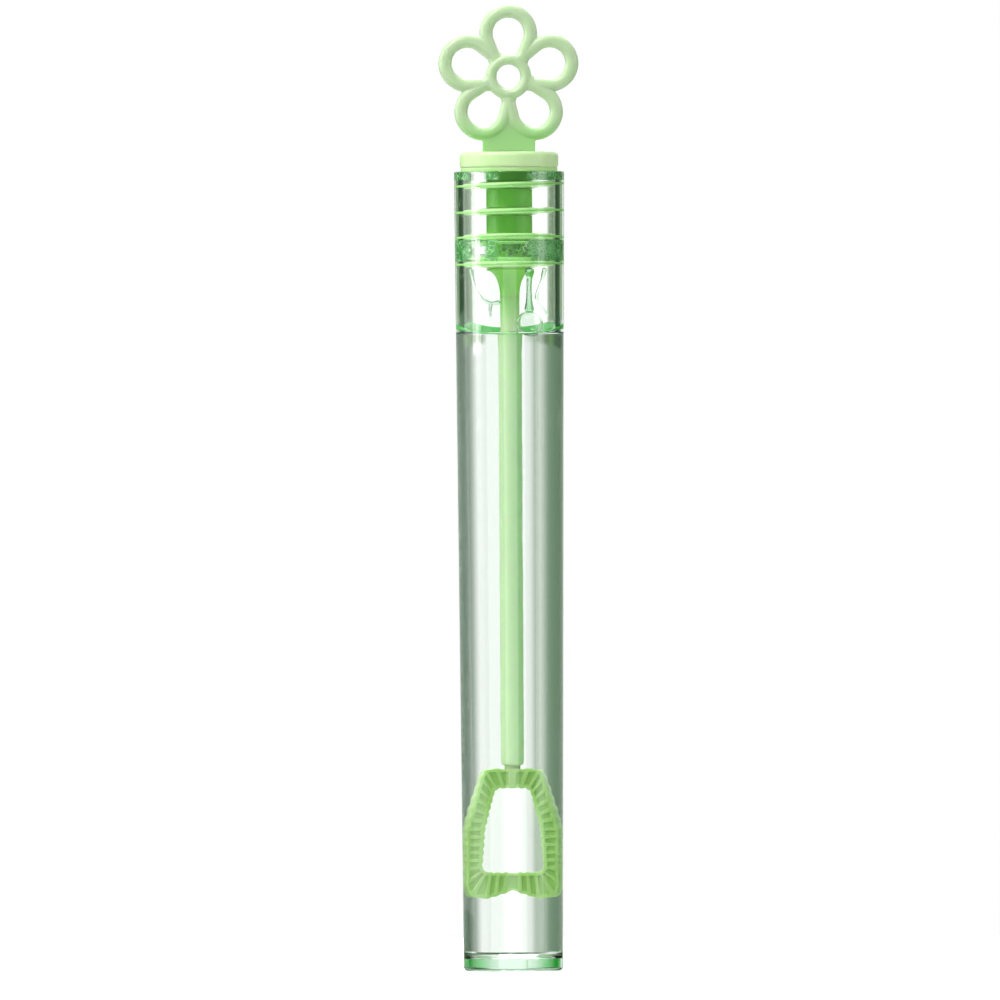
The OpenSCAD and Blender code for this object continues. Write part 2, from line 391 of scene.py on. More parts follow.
@dataclass(frozen=True)
class SoapFoam:
    """Foam that clings to the wall: pale cell rims over green water, clear in one window."""

    name: str
    water: Colour = (0.09, 0.42, 0.11)
    rim: Colour = (0.52, 0.84, 0.48)
    cells: float = 1900.0

    def material(self) -> bpy.types.Material:
        """Builds the finish.

        Returns:
            The material.
        """
        material, g = new_material(self.name)
        cell = g.node(
            "ShaderNodeTexVoronoi",
            {"feature": "DISTANCE_TO_EDGE"},
            {"Vector": g.place(), "Scale": self.cells},
            output="Distance",
        )
        patch = g.noise(900.0, 3.0)
        rim = cell.step(0.2, 0.02) * patch.step(0.35, 0.6)
        across = g.node("ShaderNodeSeparateXYZ", inputs={0: g.place()}, output="X")
        right = across.step(0.0018, 0.0027)
        left = across.step(-0.0042, -0.0047)
        inner = across.step(-0.0029, -0.0025) * across.step(-0.0010, -0.0016)
        cover = right.larger(left).larger(inner * 0.8)
        shader = g.node(
            "ShaderNodeBsdfPrincipled",
            inputs={
                "Base Color": g.mix(rim * 0.7 + patch.step(0.4, 0.7) * 0.3, self.water, self.rim),
                "Roughness": 0.18 + patch * 0.1,
                "IOR": 1.33,
                "Alpha": cover * (0.35 + rim * 0.4 + patch.step(0.35, 0.65) * 0.2),
            },
        )
        g.node("ShaderNodeOutputMaterial", inputs={"Surface": shader})
        return material


def object_mode() -> None:
    """Leaves edit mode and deselects everything."""
    if bpy.context.object is not None and bpy.context.object.mode != "OBJECT":
        bpy.ops.object.mode_set(mode="OBJECT")
    bpy.ops.object.select_all(action="DESELECT")


def activate(piece: bpy.types.Object) -> None:
    """Selects one piece alone, in object mode.

    Args:
        piece: The piece.
    """
    object_mode()
    piece.select_set(True)
    bpy.context.view_layer.objects.active = piece


def settle() -> None:
    """Moves the selected pieces' own place, turn and scale into their meshes."""
    bpy.ops.object.transform_apply(location=True, rotation=True, scale=True)


def entitle(piece: bpy.types.Object, name: str) -> bpy.types.Object:
    """Names a piece and its mesh.

    Args:
        piece: The piece.
        name: The name of both.

    Returns:
        The piece.
    """
    piece.name = name
    piece.data.name = name
    return piece


def edit(piece: bpy.types.Object) -> None:
    """Opens a piece in edit mode with nothing selected.

    Args:
        piece: The piece.
    """
    activate(piece)
    bpy.ops.object.mode_set(mode="EDIT")
    bpy.ops.mesh.select_mode(type="VERT")
    bpy.ops.mesh.select_all(action="DESELECT")


def pick(piece: bpy.types.Object, wanted: Iterable[int]) -> None:
    """Selects vertices of the piece in edit mode by their numbers.

    Args:
        piece: The piece in edit mode.
        wanted: The vertices' numbers.
    """
    bpy.ops.mesh.select_all(action="DESELECT")
    bpy.ops.object.mode_set(mode="OBJECT")
    for number in wanted:
        piece.data.vertices[number].select = True
    bpy.ops.object.mode_set(mode="EDIT")


def trace(name: str, points: Sequence[Point], closed: bool) -> bpy.types.Object:
    """Draws a line of points by extruding one vertex, and leaves it in edit mode.

    Args:
        name: The piece's name.
        points: The points in millimetres.
        closed: Whether the last point is joined to the first.

    Returns:
        The piece.
    """
    object_mode()
    bpy.ops.mesh.primitive_plane_add(size=1.0, location=(0.0, 0.0, 0.0))
    piece = entitle(bpy.context.object, name)
    bpy.ops.object.mode_set(mode="EDIT")
    bpy.ops.mesh.select_mode(type="VERT")
    bpy.ops.mesh.select_all(action="SELECT")
    bpy.ops.mesh.merge(type="CENTER")
    bpy.ops.object.mode_set(mode="OBJECT")
    bpy.ops.object.mode_set(mode="EDIT")
    bpy.ops.mesh.select_all(action="SELECT")
    bpy.ops.transform.translate(value=points[0])
    for before, after in zip(points, points[1:]):
        step = Vector(after) - Vector(before)
        bpy.ops.mesh.extrude_region_move(TRANSFORM_OT_translate={"value": step})
    if closed:
        pick(piece, (0, len(points) - 1))
        bpy.ops.mesh.edge_face_add()
    return piece


def lathe(name: str, profile: Sequence[Flat], closed: bool, steps: int) -> bpy.types.Object:
    """Turns a profile of radius and height about the upright axis.

    Args:
        name: The piece's name.
        profile: The radius and height of each point in millimetres.
        closed: Whether the profile's ends are joined, as on a ring.
        steps: Facets in the turn.

    Returns:
        The piece, in object mode.
    """
    piece = trace(name, [(radius, 0.0, height) for radius, height in profile], closed)
    bpy.ops.mesh.select_all(action="SELECT")
    bpy.ops.mesh.spin(steps=steps, angle=math.tau, center=(0.0, 0.0, 0.0), axis=UP)
    mend()
    object_mode()
    return piece


def mend() -> None:
    """Merges doubles and turns all faces outwards, in edit mode."""
    bpy.ops.mesh.select_all(action="SELECT")
    bpy.ops.mesh.remove_doubles(threshold=0.0005)
    bpy.ops.mesh.normals_make_consistent(inside=False)


def arc(middle: Flat, radius: float, start: float, end: float, steps: int) -> list[Flat]:
    """Points on an arc.

    Args:
        middle: The arc's middle.
        radius: Its radius.
        start: The first angle in degrees.
        end: The last angle in degrees.
        steps: The steps between them.

    Returns:
        The points.
    """
    turns = [math.radians(start + (end - start) * i / steps) for i in range(steps + 1)]
    return [(middle[0] + radius * math.cos(t), middle[1] + radius * math.sin(t)) for t in turns]


def rounded(corners: Sequence[tuple[Flat, float]], steps: int = 6) -> list[Flat]:
    """An outline whose corners are rounded.

    Args:
        corners: Each corner's place and radius.
        steps: The steps of each rounding.

    Returns:
        The outline's points.
    """
    points: list[Flat] = []
    for i, (place, radius) in enumerate(corners):
        corner = Vector(place)
        back = (Vector(corners[i - 1][0]) - corner).normalized()
        on = (Vector(corners[(i + 1) % len(corners)][0]) - corner).normalized()
        half = back.angle(on) / 2
        middle = corner + (back + on).normalized() * (radius / math.sin(half))
        first = corner + back * (radius / math.tan(half)) - middle
        last = corner + on * (radius / math.tan(half)) - middle
        start = math.degrees(math.atan2(first.y, first.x))
        sweep = (math.degrees(math.atan2(last.y, last.x)) - start + 540) % 360 - 180
        points += arc(tuple(middle), radius, start, start + sweep, steps)
    return points


def join(name: str, parts: Sequence[bpy.types.Object]) -> bpy.types.Object:
    """Joins several pieces into one.

    Args:
        name: The joined piece's name.
        parts: The pieces.

    Returns:
        The joined piece.
    """
    object_mode()
    for part in parts:
        part.select_set(True)
    bpy.context.view_layer.objects.active = parts[0]
    if len(parts) > 1:
        bpy.ops.object.join()
    return entitle(parts[0], name)


def modify(piece: bpy.types.Object, kind: str, **settings: Any) -> None:
    """Adds a modifier and applies it.

    Args:
        piece: The piece.
        kind: The modifier's type.
        **settings: Its settings.
    """
    activate(piece)
    bpy.ops.object.modifier_add(type=kind)
    added = piece.modifiers[-1]
    for name, value in settings.items():
        setattr(added, name, value)
    bpy.ops.object.modifier_apply(modifier=added.name)


def copy(piece: bpy.types.Object, name: str) -> bpy.types.Object:
    """Copies a piece with a mesh of its own.

    Args:
        piece: The piece.
        name: The copy's name.

    Returns:
        The copy.
    """
    activate(piece)
    bpy.ops.object.duplicate(linked=False)
    return entitle(bpy.context.object, name)


def turn(piece: bpy.types.Object, angle: float, axis: str, about: Point = (0.0, 0.0, 0.0)) -> None:
    """Turns a piece's mesh.

    Args:
        piece: The piece.
        angle: Degrees.
        axis: X, Y or Z.
        about: A point on the axis.
    """
    middle = Matrix.Translation(about)
    piece.data.transform(middle @ Matrix.Rotation(math.radians(angle), 4, axis) @ middle.inverted())


def finish_piece(
    piece: bpy.types.Object,
    material: bpy.types.Material,
    body: Body,
    nodes: Sequence[str] = (),
    sharp: float = 40.0,
) -> bpy.types.Object:
    """Brings a piece from millimetres to metres, dresses it and hands it to its body.

    Args:
        piece: The piece.
        material: Its finish.
        body: The body that it rides on.
        nodes: The CAD nodes that it stands for.
        sharp: The edge angle in degrees past which shading breaks.

    Returns:
        The piece.
    """
    activate(piece)
    piece.scale = (MM, MM, MM)
    settle()
    bpy.ops.object.shade_smooth_by_angle(angle=math.radians(sharp))
    piece.data.materials.clear()
    piece.data.materials.append(material)
    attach(piece, body.value)
    if nodes:
        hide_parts(*nodes)
    LOG.info("%s: %d faces, rides on %s", piece.name, len(piece.data.polygons), body.value)
    return piece


def let_light_in(piece: bpy.types.Object) -> None:
    """Lets the lamps and soft light pass a clear piece, so that they reach what stands inside it.

    Args:
        piece: The clear piece.
    """
    piece.visible_shadow = False
    piece.visible_diffuse = False


@dataclass
class BubbleTube:
    """The clear tube with its thick floor."""

    height: float = 94.0
    mouth_r: float = 6.5
    foot_r: float = 5.85
    wall: float = 1.0
    floor: float = 1.45
    foot_round: float = 0.42
    foot_round_z: float = 0.45
    foot_flat: float = 0.5
    foot_bevel_h: float = 0.55
    well_ease: float = 0.05
    ring_gaps: tuple[float, ...] = (0.0, 0.03, 0.1, 0.3)
    well_r: float = 0.8
    rim_round: float = 0.14
    steps: int = 192
    finish: ClearPlastic = field(default_factory=lambda: ClearPlastic("clear_tube"))

    def outer(self, z: float) -> float:
        """The outside radius at a height."""
        return self.foot_r + (self.mouth_r - self.foot_r) * z / self.height

    def inner(self, z: float) -> float:
        """The inside radius at a height."""
        return self.outer(z) - self.wall

    def levels(self, low: float, high: float) -> list[float]:
        """Heights at which a wall is ringed, close together at both ends.

        Args:
            low: The wall's foot.
            high: The wall's top.

        Returns:
            The heights from the foot up.
        """
        return [low + gap for gap in self.ring_gaps] + [high - gap for gap in reversed(self.ring_gaps)]

    def build(self) -> bpy.types.Object:
        """Turns the tube.

        Returns:
            The piece.
        """
        rim = self.height - self.rim_round
        well = (self.inner(self.floor + self.well_r) - self.well_r, self.floor + self.well_r)
        turn_in = self.foot_r - self.foot_round
        profile = [(0.0, 0.0), (self.foot_r - self.foot_flat, 0.0), (turn_in, 0.0)]
        profile += arc((turn_in, self.foot_round_z), self.foot_round, -75.0, -8.0, 6)
        profile += [(self.outer(z), z) for z in self.levels(self.foot_bevel_h, rim)]
        profile += arc((self.outer(rim) - self.rim_round, rim), self.rim_round, 20.0, 90.0, 4)
        profile += arc((self.inner(rim) + self.rim_round, rim), self.rim_round, 90.0, 160.0, 4)
        profile += [(self.inner(z), z) for z in reversed(self.levels(well[1], rim))]
        profile += arc(well, self.well_r, -8.0, -90.0, 8)
        profile.append((well[0] - self.well_ease, self.floor))
        profile.append((0.0, self.floor))
        piece = lathe("clear_tube", profile, False, self.steps)
        finish_piece(piece, self.finish.material(), Body.TUBE, ("tube",), 30.0)
        let_light_in(piece)
        return piece


@dataclass
class Solution:
    """The bubble solution, which wets the tube and climbs at the wall and the stem."""

    tube: BubbleTube
    level: float = 74.8
    climb: float = 0.3
    run: float = 0.5
    stem_r: float = 1.05
    stem_climb: float = 0.5
    stem_run: float = 0.6
    wet: float = 0.04
    keep: float = 0.945
    rings: int = 30
    steps: int = 160
    finish: SoapyWater = field(default_factory=lambda: SoapyWater("bubble_solution"))

    def surface(self, radius: float) -> float:
        """The surface's height at a distance from the axis.

        Args:
            radius: The distance in millimetres.

        Returns:
            The height.
        """
        edge = self.tube.inner(self.level) + self.wet
        wall = self.climb * math.exp((radius - edge) / self.run)
        stem = self.stem_climb * math.exp(-max(0.0, radius - self.stem_r) / self.stem_run)
        return self.level + wall + stem

    def sink(self, piece: bpy.types.Object) -> None:
        """Gives a piece a mesh of its own.

        Args:
            piece: The piece.
        """
        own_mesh(piece)

    def build(self) -> bpy.types.Object:
        """Turns the body of liquid.

        Returns:
            The piece.
        """
        tube = self.tube
        well_r = tube.well_r
        well = (tube.inner(tube.floor + well_r) - well_r, tube.floor + well_r)
        profile = [(0.0, tube.floor - self.wet)]
        profile += arc(well, well_r + self.wet, -90.0, -5.0, 8)
        top = self.surface(tube.inner(self.level) + self.wet)
        profile += [(tube.inner(z) + self.wet, z) for z in tube.levels(well[1], top)]
        edge = tube.inner(self.level) + self.wet
        for i in range(1, self.rings + 1):
            radius = edge * (1 - i / self.rings)
            profile.append((radius, self.surface(radius)))
        piece = lathe("bubble_solution", profile, False, self.steps)
        finish_piece(piece, self.finish.material(), Body.TUBE, ("bubble_solution",), 60.0)
        let_light_in(piece)
        self.sink(piece)
        return piece


@dataclass
class Stopper:
    """The stopper: collar, shoulder, grooved core and the flare that runs into the stem."""

    rim_z: float = 94.0
    collar_z: float = 94.43
    collar_top: float = 96.28
    collar_r: float = 5.8
    collar_round: float = 0.5
    collar_foot_round: float = 0.3
    shoulder_r: float = 5.7
    core_r: float = 2.7
    groove_r: float = 2.3
    groove_w: float = 0.98
    ring_z: tuple[float, ...] = (92.4, 89.3, 86.2, 83.1)
    flare_top: float = 82.36
    flare_foot: float = 79.36
    stem_r: float = 1.15
    steps: int = 128
    finish: MouldedPlastic = field(
        default_factory=lambda: MouldedPlastic(
            "stopper_plastic",
            colour=(0.58, 0.80, 0.42),
            deep=(0.53, 0.77, 0.36),
            # Painted shade: below the rim the core takes a deeper green, for the shade inside the tube's
            # neck.
            low_colour=(0.22, 0.64, 0.085),
            low_z=0.0937,
            high_z=0.0946,
        )
    )

    def build(self) -> bpy.types.Object:
        """Turns the stopper.

        Returns:
            The piece.
        """
        spread = self.core_r - self.stem_r
        rise = self.flare_top - self.flare_foot
        profile = [(0.0, self.flare_foot)]
        for across, up in arc((0.0, 0.0), 1.0, 0.0, 90.0, 12):
            profile.append((self.core_r - spread * across, self.flare_foot + rise * up))
        for z in reversed(self.ring_z):
            half = self.groove_w / 2
            profile += [(self.core_r, z - half), (self.groove_r, z - half)]
            profile += [(self.groove_r, z + half), (self.core_r, z + half)]
        profile += [(self.core_r, self.rim_z), (self.shoulder_r, self.rim_z)]
        profile.append((self.shoulder_r, self.collar_z))
        edge = self.collar_r - self.collar_round
        profile.append((edge, self.collar_z))
        low = self.collar_foot_round
        profile += arc((self.collar_r - low, self.collar_z + low), low, -70.0, 0.0, 5)
        profile += arc((edge, self.collar_top - self.collar_round), self.collar_round, 0.0, 90.0, 8)
        profile.append((0.0, self.collar_top))
        piece = lathe("stopper", profile, False, self.steps)
        finish_piece(piece, self.finish.material(), Body.WAND, ("stopper",), 35.0)
        return piece


@dataclass
class SealRing:
    """One soft ring that wipes the tube's wall, thin at its lip."""

    number: int
    z: float
    lip_r: float
    tilt: float
    tilt_towards: float
    root_r: float = 2.34
    core_r: float = 2.7
    root_t: float = 0.9
    lip_t: float = 0.6
    lip_ease: float = 0.05
    shank: float = 0.9
    lean_run: float = 1.5
    steps: int = 128

    def build(self, material: bpy.types.Material) -> bpy.types.Object:
        """Turns the ring and lets it lean a little, as a soft ring does.

        Args:
            material: The ring's finish.

        Returns:
            The piece.
        """
        lip = self.lip_t / 2
        root = self.root_t / 2
        profile = [(self.root_r, -root), (self.core_r, -root)]
        profile.append((self.core_r + self.shank, -lip - self.lip_ease))
        profile += arc((self.lip_r - lip, 0.0), lip, -90.0, 90.0, 8)
        profile.append((self.core_r + self.shank, lip + self.lip_ease))
        profile += [(self.core_r, root), (self.root_r, root)]
        name = f"seal_ring_{self.number}"
        piece = lathe(name, [(radius, self.z + height) for radius, height in profile], True, self.steps)
        bend = math.tan(math.radians(self.tilt))
        towards = math.radians(self.tilt_towards)
        facing = Vector((math.cos(towards), math.sin(towards)))
        for vertex in piece.data.vertices:
            out = Vector(vertex.co[:2])
            share = min(1.0, max(0.0, (out.length - self.core_r) / self.lean_run))
            vertex.co.z += bend * share * out.dot(facing)
        finish_piece(piece, material, Body.SEALS, (name,), 35.0)
        return piece


@dataclass
class WandStem:
    """The slim stem with the parting line of its mould."""

    top_z: float = 79.36
    taper: float = 7.0
    foot_z: float = 24.15
    top_r: float = 1.15
    r: float = 1.0
    bevel: float = 0.35
    peg_r: float = 0.75
    peg_h: float = 4.0
    seam: float = 0.045
    seam_w: float = 0.12
    seam_from: float = 0.9
    seam_clear: float = 0.1
    seam_pitch: float = 1.6
    seam_steps: int = 200
    seam_seed: int = 7
    levels: int = 90
    taper_steps: int = 6
    steps: int = 64
    finish: MouldedPlastic = field(
        default_factory=lambda: MouldedPlastic(
            "stem_plastic",
            # Painted shade: the stem is a deep green at its top in the tube's neck and turns to the paler low
            # colour lower down.
            colour=(0.19, 0.52, 0.09),
            deep=(0.21, 0.58, 0.09),
            low_colour=(0.53, 0.64, 0.42),
            low_z=0.0725,
            high_z=0.0805,
            glow=0.85,
            glow_depth=0.002,
        )
    )

    def build(self) -> bpy.types.Object:
        """Turns the stem, and raises its parting line on both sides.

        Returns:
            The piece.
        """
        profile = [(0.0, self.foot_z), (self.r - self.bevel, self.foot_z)]
        profile += arc((self.r - self.bevel, self.foot_z + self.bevel), self.bevel, -70.0, 0.0, 4)
        straight = self.top_z - self.taper
        for i in range(1, self.levels + 1):
            z = self.foot_z + self.bevel + (straight - self.foot_z - self.bevel) * i / self.levels
            profile.append((self.r, z))
        for i in range(1, self.taper_steps + 1):
            share = i / self.taper_steps
            profile.append((self.r + (self.top_r - self.r) * share, straight + self.taper * share))
        peg_top = self.top_z + self.peg_h
        profile += [(self.peg_r, self.top_z), (self.peg_r, peg_top), (0.0, peg_top)]
        piece = lathe("wand_stem", profile, False, self.steps)
        rough = random.Random(self.seam_seed)
        jag = [rough.uniform(0.2, 1.0) for _ in range(self.seam_steps)]
        for vertex in piece.data.vertices:
            out = Vector(vertex.co[:2])
            inside = self.foot_z + self.bevel < vertex.co.z < self.top_z - self.seam_clear
            if inside and out.length > self.seam_from and abs(vertex.co.y) < self.seam_w:
                lift = self.seam * jag[int(vertex.co.z * self.seam_pitch) % len(jag)]
                vertex.co.x += math.copysign(lift, vertex.co.x)
        finish_piece(piece, self.finish.material(), Body.WAND, ("wand_stem",), 50.0)
        return piece


@dataclass
class BubbleLoop:
    """The loop that lifts the film: a frame with rims, pockets and small teeth on its edges."""

    foot_z: float = 8.5
    height: float = 15.3
    thick: float = 1.8
    half: float = 4.57
    side_h: float = 7.9
    top_half: float = 2.65
    foot_bar: float = 3.1
    top_bar: float = 2.35
    rim: float = 0.42
    pocket: float = 0.13
    tooth: float = 0.1
    foot_dip: float = 0.9
    edge_round: float = 0.07
    pocket_rim: float = 0.07
    tang_r: float = 0.7
    tang_h: float = 3.35
    tang_sink: float = 0.2
    tang_round: float = 0.08
    tries: int = 600
    finish: MouldedPlastic = field(
        default_factory=lambda: MouldedPlastic(
            "loop_plastic",
            colour=(0.37, 0.55, 0.20),
            deep=(0.33, 0.52, 0.17),
            # Painted shade: the sunk pockets take this darker green.
            groove=(0.30, 0.52, 0.13),
            glow=0.5,
            glow_depth=0.0016,
        )
    )

    def outer_line(self) -> list[Flat]:
        """The right half of the outer edge, from the top's middle to the foot's middle."""
        corners = [
            ((0.0, self.height), 0.0),
            ((self.top_half, self.height), 0.9),
            ((self.half, self.side_h), 3.0),
            ((self.half, 0.0), 1.5),
            ((self.half - 2.35, 0.0), 1.2),
            ((0.0, self.foot_dip), 0.0),
        ]
        return self.half_line(corners)

    def inner_line(self) -> list[Flat]:
        """The right half of the hole's edge, from the top's middle to the foot's middle."""
        corners = [
            ((0.0, self.height - self.top_bar), 0.0),
            ((1.56, self.height - self.top_bar), 0.7),
            ((2.54, 8.2), 3.0),
            ((2.87, self.foot_bar), 0.7),
            ((0.0, self.foot_bar), 0.0),
        ]
        return self.half_line(corners)

    @staticmethod
    def half_line(corners: Sequence[tuple[Flat, float]]) -> list[Flat]:
        """An open line with rounded corners between its ends.

        Args:
            corners: Each corner's place and radius.

        Returns:
            The line's points.
        """
        points = [corners[0][0]]
        for i in range(1, len(corners) - 1):
            before, here, after = corners[i - 1 : i + 2]
            points += rounded([(before[0], 1e-6), here, (after[0], 1e-6)], 8)[9:18]
        return points + [corners[-1][0]]

    @staticmethod
    def along(line: Sequence[Flat], share: float) -> Flat:
        """The point at a share of a line's length.

        Args:
            line: The line's points.
            share: 0 at its start, 1 at its end.

        Returns:
            The point.
        """
        lengths = [math.dist(a, b) for a, b in zip(line, line[1:])]
        left = share * sum(lengths)
        for (a, b), length in zip(zip(line, line[1:]), lengths):
            if left <= length and length > 0:
                return (a[0] + (b[0] - a[0]) * left / length, a[1] + (b[1] - a[1]) * left / length)
            left -= length
        return line[-1]

    def nearest(self, line: Sequence[Flat], place: Flat) -> float:
        """The share of a line's length at the point nearest to a place.

        Args:
            line: The line's points.
            place: The place.

        Returns:
            The share.
        """
        shares = [i / self.tries for i in range(self.tries + 1)]
        return min(shares, key=lambda share: math.dist(self.along(line, share), place))

    def stations(self) -> list[tuple[Flat, Flat, bool]]:
        """The frame's right half, cut across into ribs and pockets.

        Returns:
            For each cut the outer point, the hole's point, and whether a rib starts there.
        """
        outer = self.outer_line()
        inner = self.inner_line()
        keys = [
            ((0.0, self.height), (0.0, self.height - self.top_bar), 2),
            ((2.40, 15.2), (1.35, 12.85), 1),
            ((2.75, 14.4), (1.60, 12.4), 5),
            ((4.45, 8.3), (2.56, 8.3), 5),
            ((4.57, 3.7), (2.80, 3.7), 3),
            ((2.6, 0.0), (2.2, 3.1), 3),
            ((0.0, self.foot_dip), (0.0, self.foot_bar), 0),
        ]
        cuts: list[tuple[Flat, Flat, bool]] = []
        for (start, stop) in zip(keys, keys[1:]):
            out_from, out_to = self.nearest(outer, start[0]), self.nearest(outer, stop[0])
            in_from, in_to = self.nearest(inner, start[1]), self.nearest(inner, stop[1])
            for cell in range(start[2]):
                for part, is_rib in ((0.0, True), (0.17, True), (0.34, False), (0.56, False), (0.78, False)):
                    share = (cell + part) / start[2]
                    far = self.along(outer, out_from + (out_to - out_from) * share)
                    near = self.along(inner, in_from + (in_to - in_from) * share)
                    cuts.append((far, near, is_rib))
        return cuts

    def build(self) -> bpy.types.Object:
        """Makes the frame's sheet, thickens it, sinks its pockets and adds the tang.

        Returns:
            The piece.
        """
        right = self.stations()
        end = ((0.0, self.foot_dip), (0.0, self.foot_bar), True)
        left = [((-a[0], a[1]), (-b[0], b[1]), rib) for a, b, rib in reversed(right[1:])]
        ring = right + [end] + left
        flags = [rib for _, _, rib in right] + [rib for _, _, rib in reversed(right)]
        piece = self.sheet(ring, flags)
        bpy.ops.mesh.select_all(action="SELECT")
        bpy.ops.mesh.extrude_region_move(TRANSFORM_OT_translate={"value": (0.0, self.thick, 0.0)})
        mend()
        self.sink_pockets(piece)
        object_mode()
        sharp = math.radians(35.0)
        modify(piece, "BEVEL", width=self.edge_round, segments=2, limit_method="ANGLE", angle_limit=sharp)
        bpy.ops.mesh.primitive_cylinder_add(
            vertices=32, radius=self.tang_r, depth=self.tang_h,
            location=(0.0, 0.0, self.foot_z + self.height + self.tang_h / 2 - self.tang_sink),
        )
        tang = bpy.context.object
        modify(tang, "BEVEL", width=self.tang_round, segments=2, limit_method="ANGLE")
        piece = join("bubble_loop", [piece, tang])
        finish_piece(piece, self.finish.material(), Body.WAND, ("bubble_loop",), 32.0)
        return piece

    def sheet(self, ring: Sequence[tuple[Flat, Flat, bool]], flags: Sequence[bool]) -> bpy.types.Object:
        """Draws the frame's front as a sheet of four-sided faces, and marks the pockets.

        Args:
            ring: The cuts all round.
            flags: For each cut whether a rib starts there.

        Returns:
            The sheet, in edit mode.
        """
        count = len(ring)
        lines: list[list[Flat]] = [[], [], [], []]
        for i, (far, near, _) in enumerate(ring):
            across = Vector(near) - Vector(far)
            width = across.length
            across.normalize()
            rib = flags[i % count] or flags[i - 1]
            inset = 0.0 if rib else self.tooth
            for line, step in zip(lines, (inset, self.rim, width - self.rim, width - inset)):
                spot = Vector(far) + across * step
                line.append((spot.x, spot.y))
        front = -self.thick / 2
        piece = trace("bubble_loop", [(x, front, self.foot_z + h) for x, h in lines[0]], True)
        row = list(range(count))
        spot = {number: (0, i) for i, number in enumerate(row)}
        for depth, line in enumerate(lines[1:], 1):
            pick(piece, row)
            bpy.ops.mesh.extrude_region_move(TRANSFORM_OT_translate={"value": (0.0, 0.0, 0.0)})
            bpy.ops.object.mode_set(mode="OBJECT")
            verts = piece.data.vertices
            twin = {tuple(verts[number].co): i for i, number in enumerate(row)}
            added = range(len(verts) - count, len(verts))
            fresh = {twin[tuple(verts[number].co)]: number for number in added}
            row = [fresh[i] for i in range(count)]
            for i, (x, h) in enumerate(line):
                verts[row[i]].co = (x, front, self.foot_z + h)
                spot[row[i]] = (depth, i)
            bpy.ops.object.mode_set(mode="EDIT")
        bpy.ops.object.mode_set(mode="OBJECT")
        mark = piece.data.attributes.new("groove", "FLOAT", "FACE")
        for face in piece.data.polygons:
            places = sorted({spot[v][1] for v in face.vertices})
            rows = sorted({spot[v][0] for v in face.vertices})
            first = places[0] if places[-1] - places[0] == 1 else places[-1]
            mark.data[face.index].value = 1.0 if rows == [1, 2] and not flags[first] else 0.0
        bpy.ops.object.mode_set(mode="EDIT")
        return piece

    def sink_pockets(self, piece: bpy.types.Object) -> None:
        """Sinks the marked faces of the front and back below the rims.

        Args:
            piece: The frame in edit mode.
        """
        bpy.ops.mesh.select_mode(type="FACE")
        bpy.ops.mesh.select_all(action="DESELECT")
        bpy.ops.object.mode_set(mode="OBJECT")
        mark = piece.data.attributes["groove"]
        for face in piece.data.polygons:
            face.select = mark.data[face.index].value > 0.5 and abs(face.normal.y) > 0.9
        bpy.ops.object.mode_set(mode="EDIT")
        bpy.ops.mesh.inset(thickness=self.pocket_rim, depth=-self.pocket, use_even_offset=True)
        bpy.ops.mesh.select_mode(type="VERT")


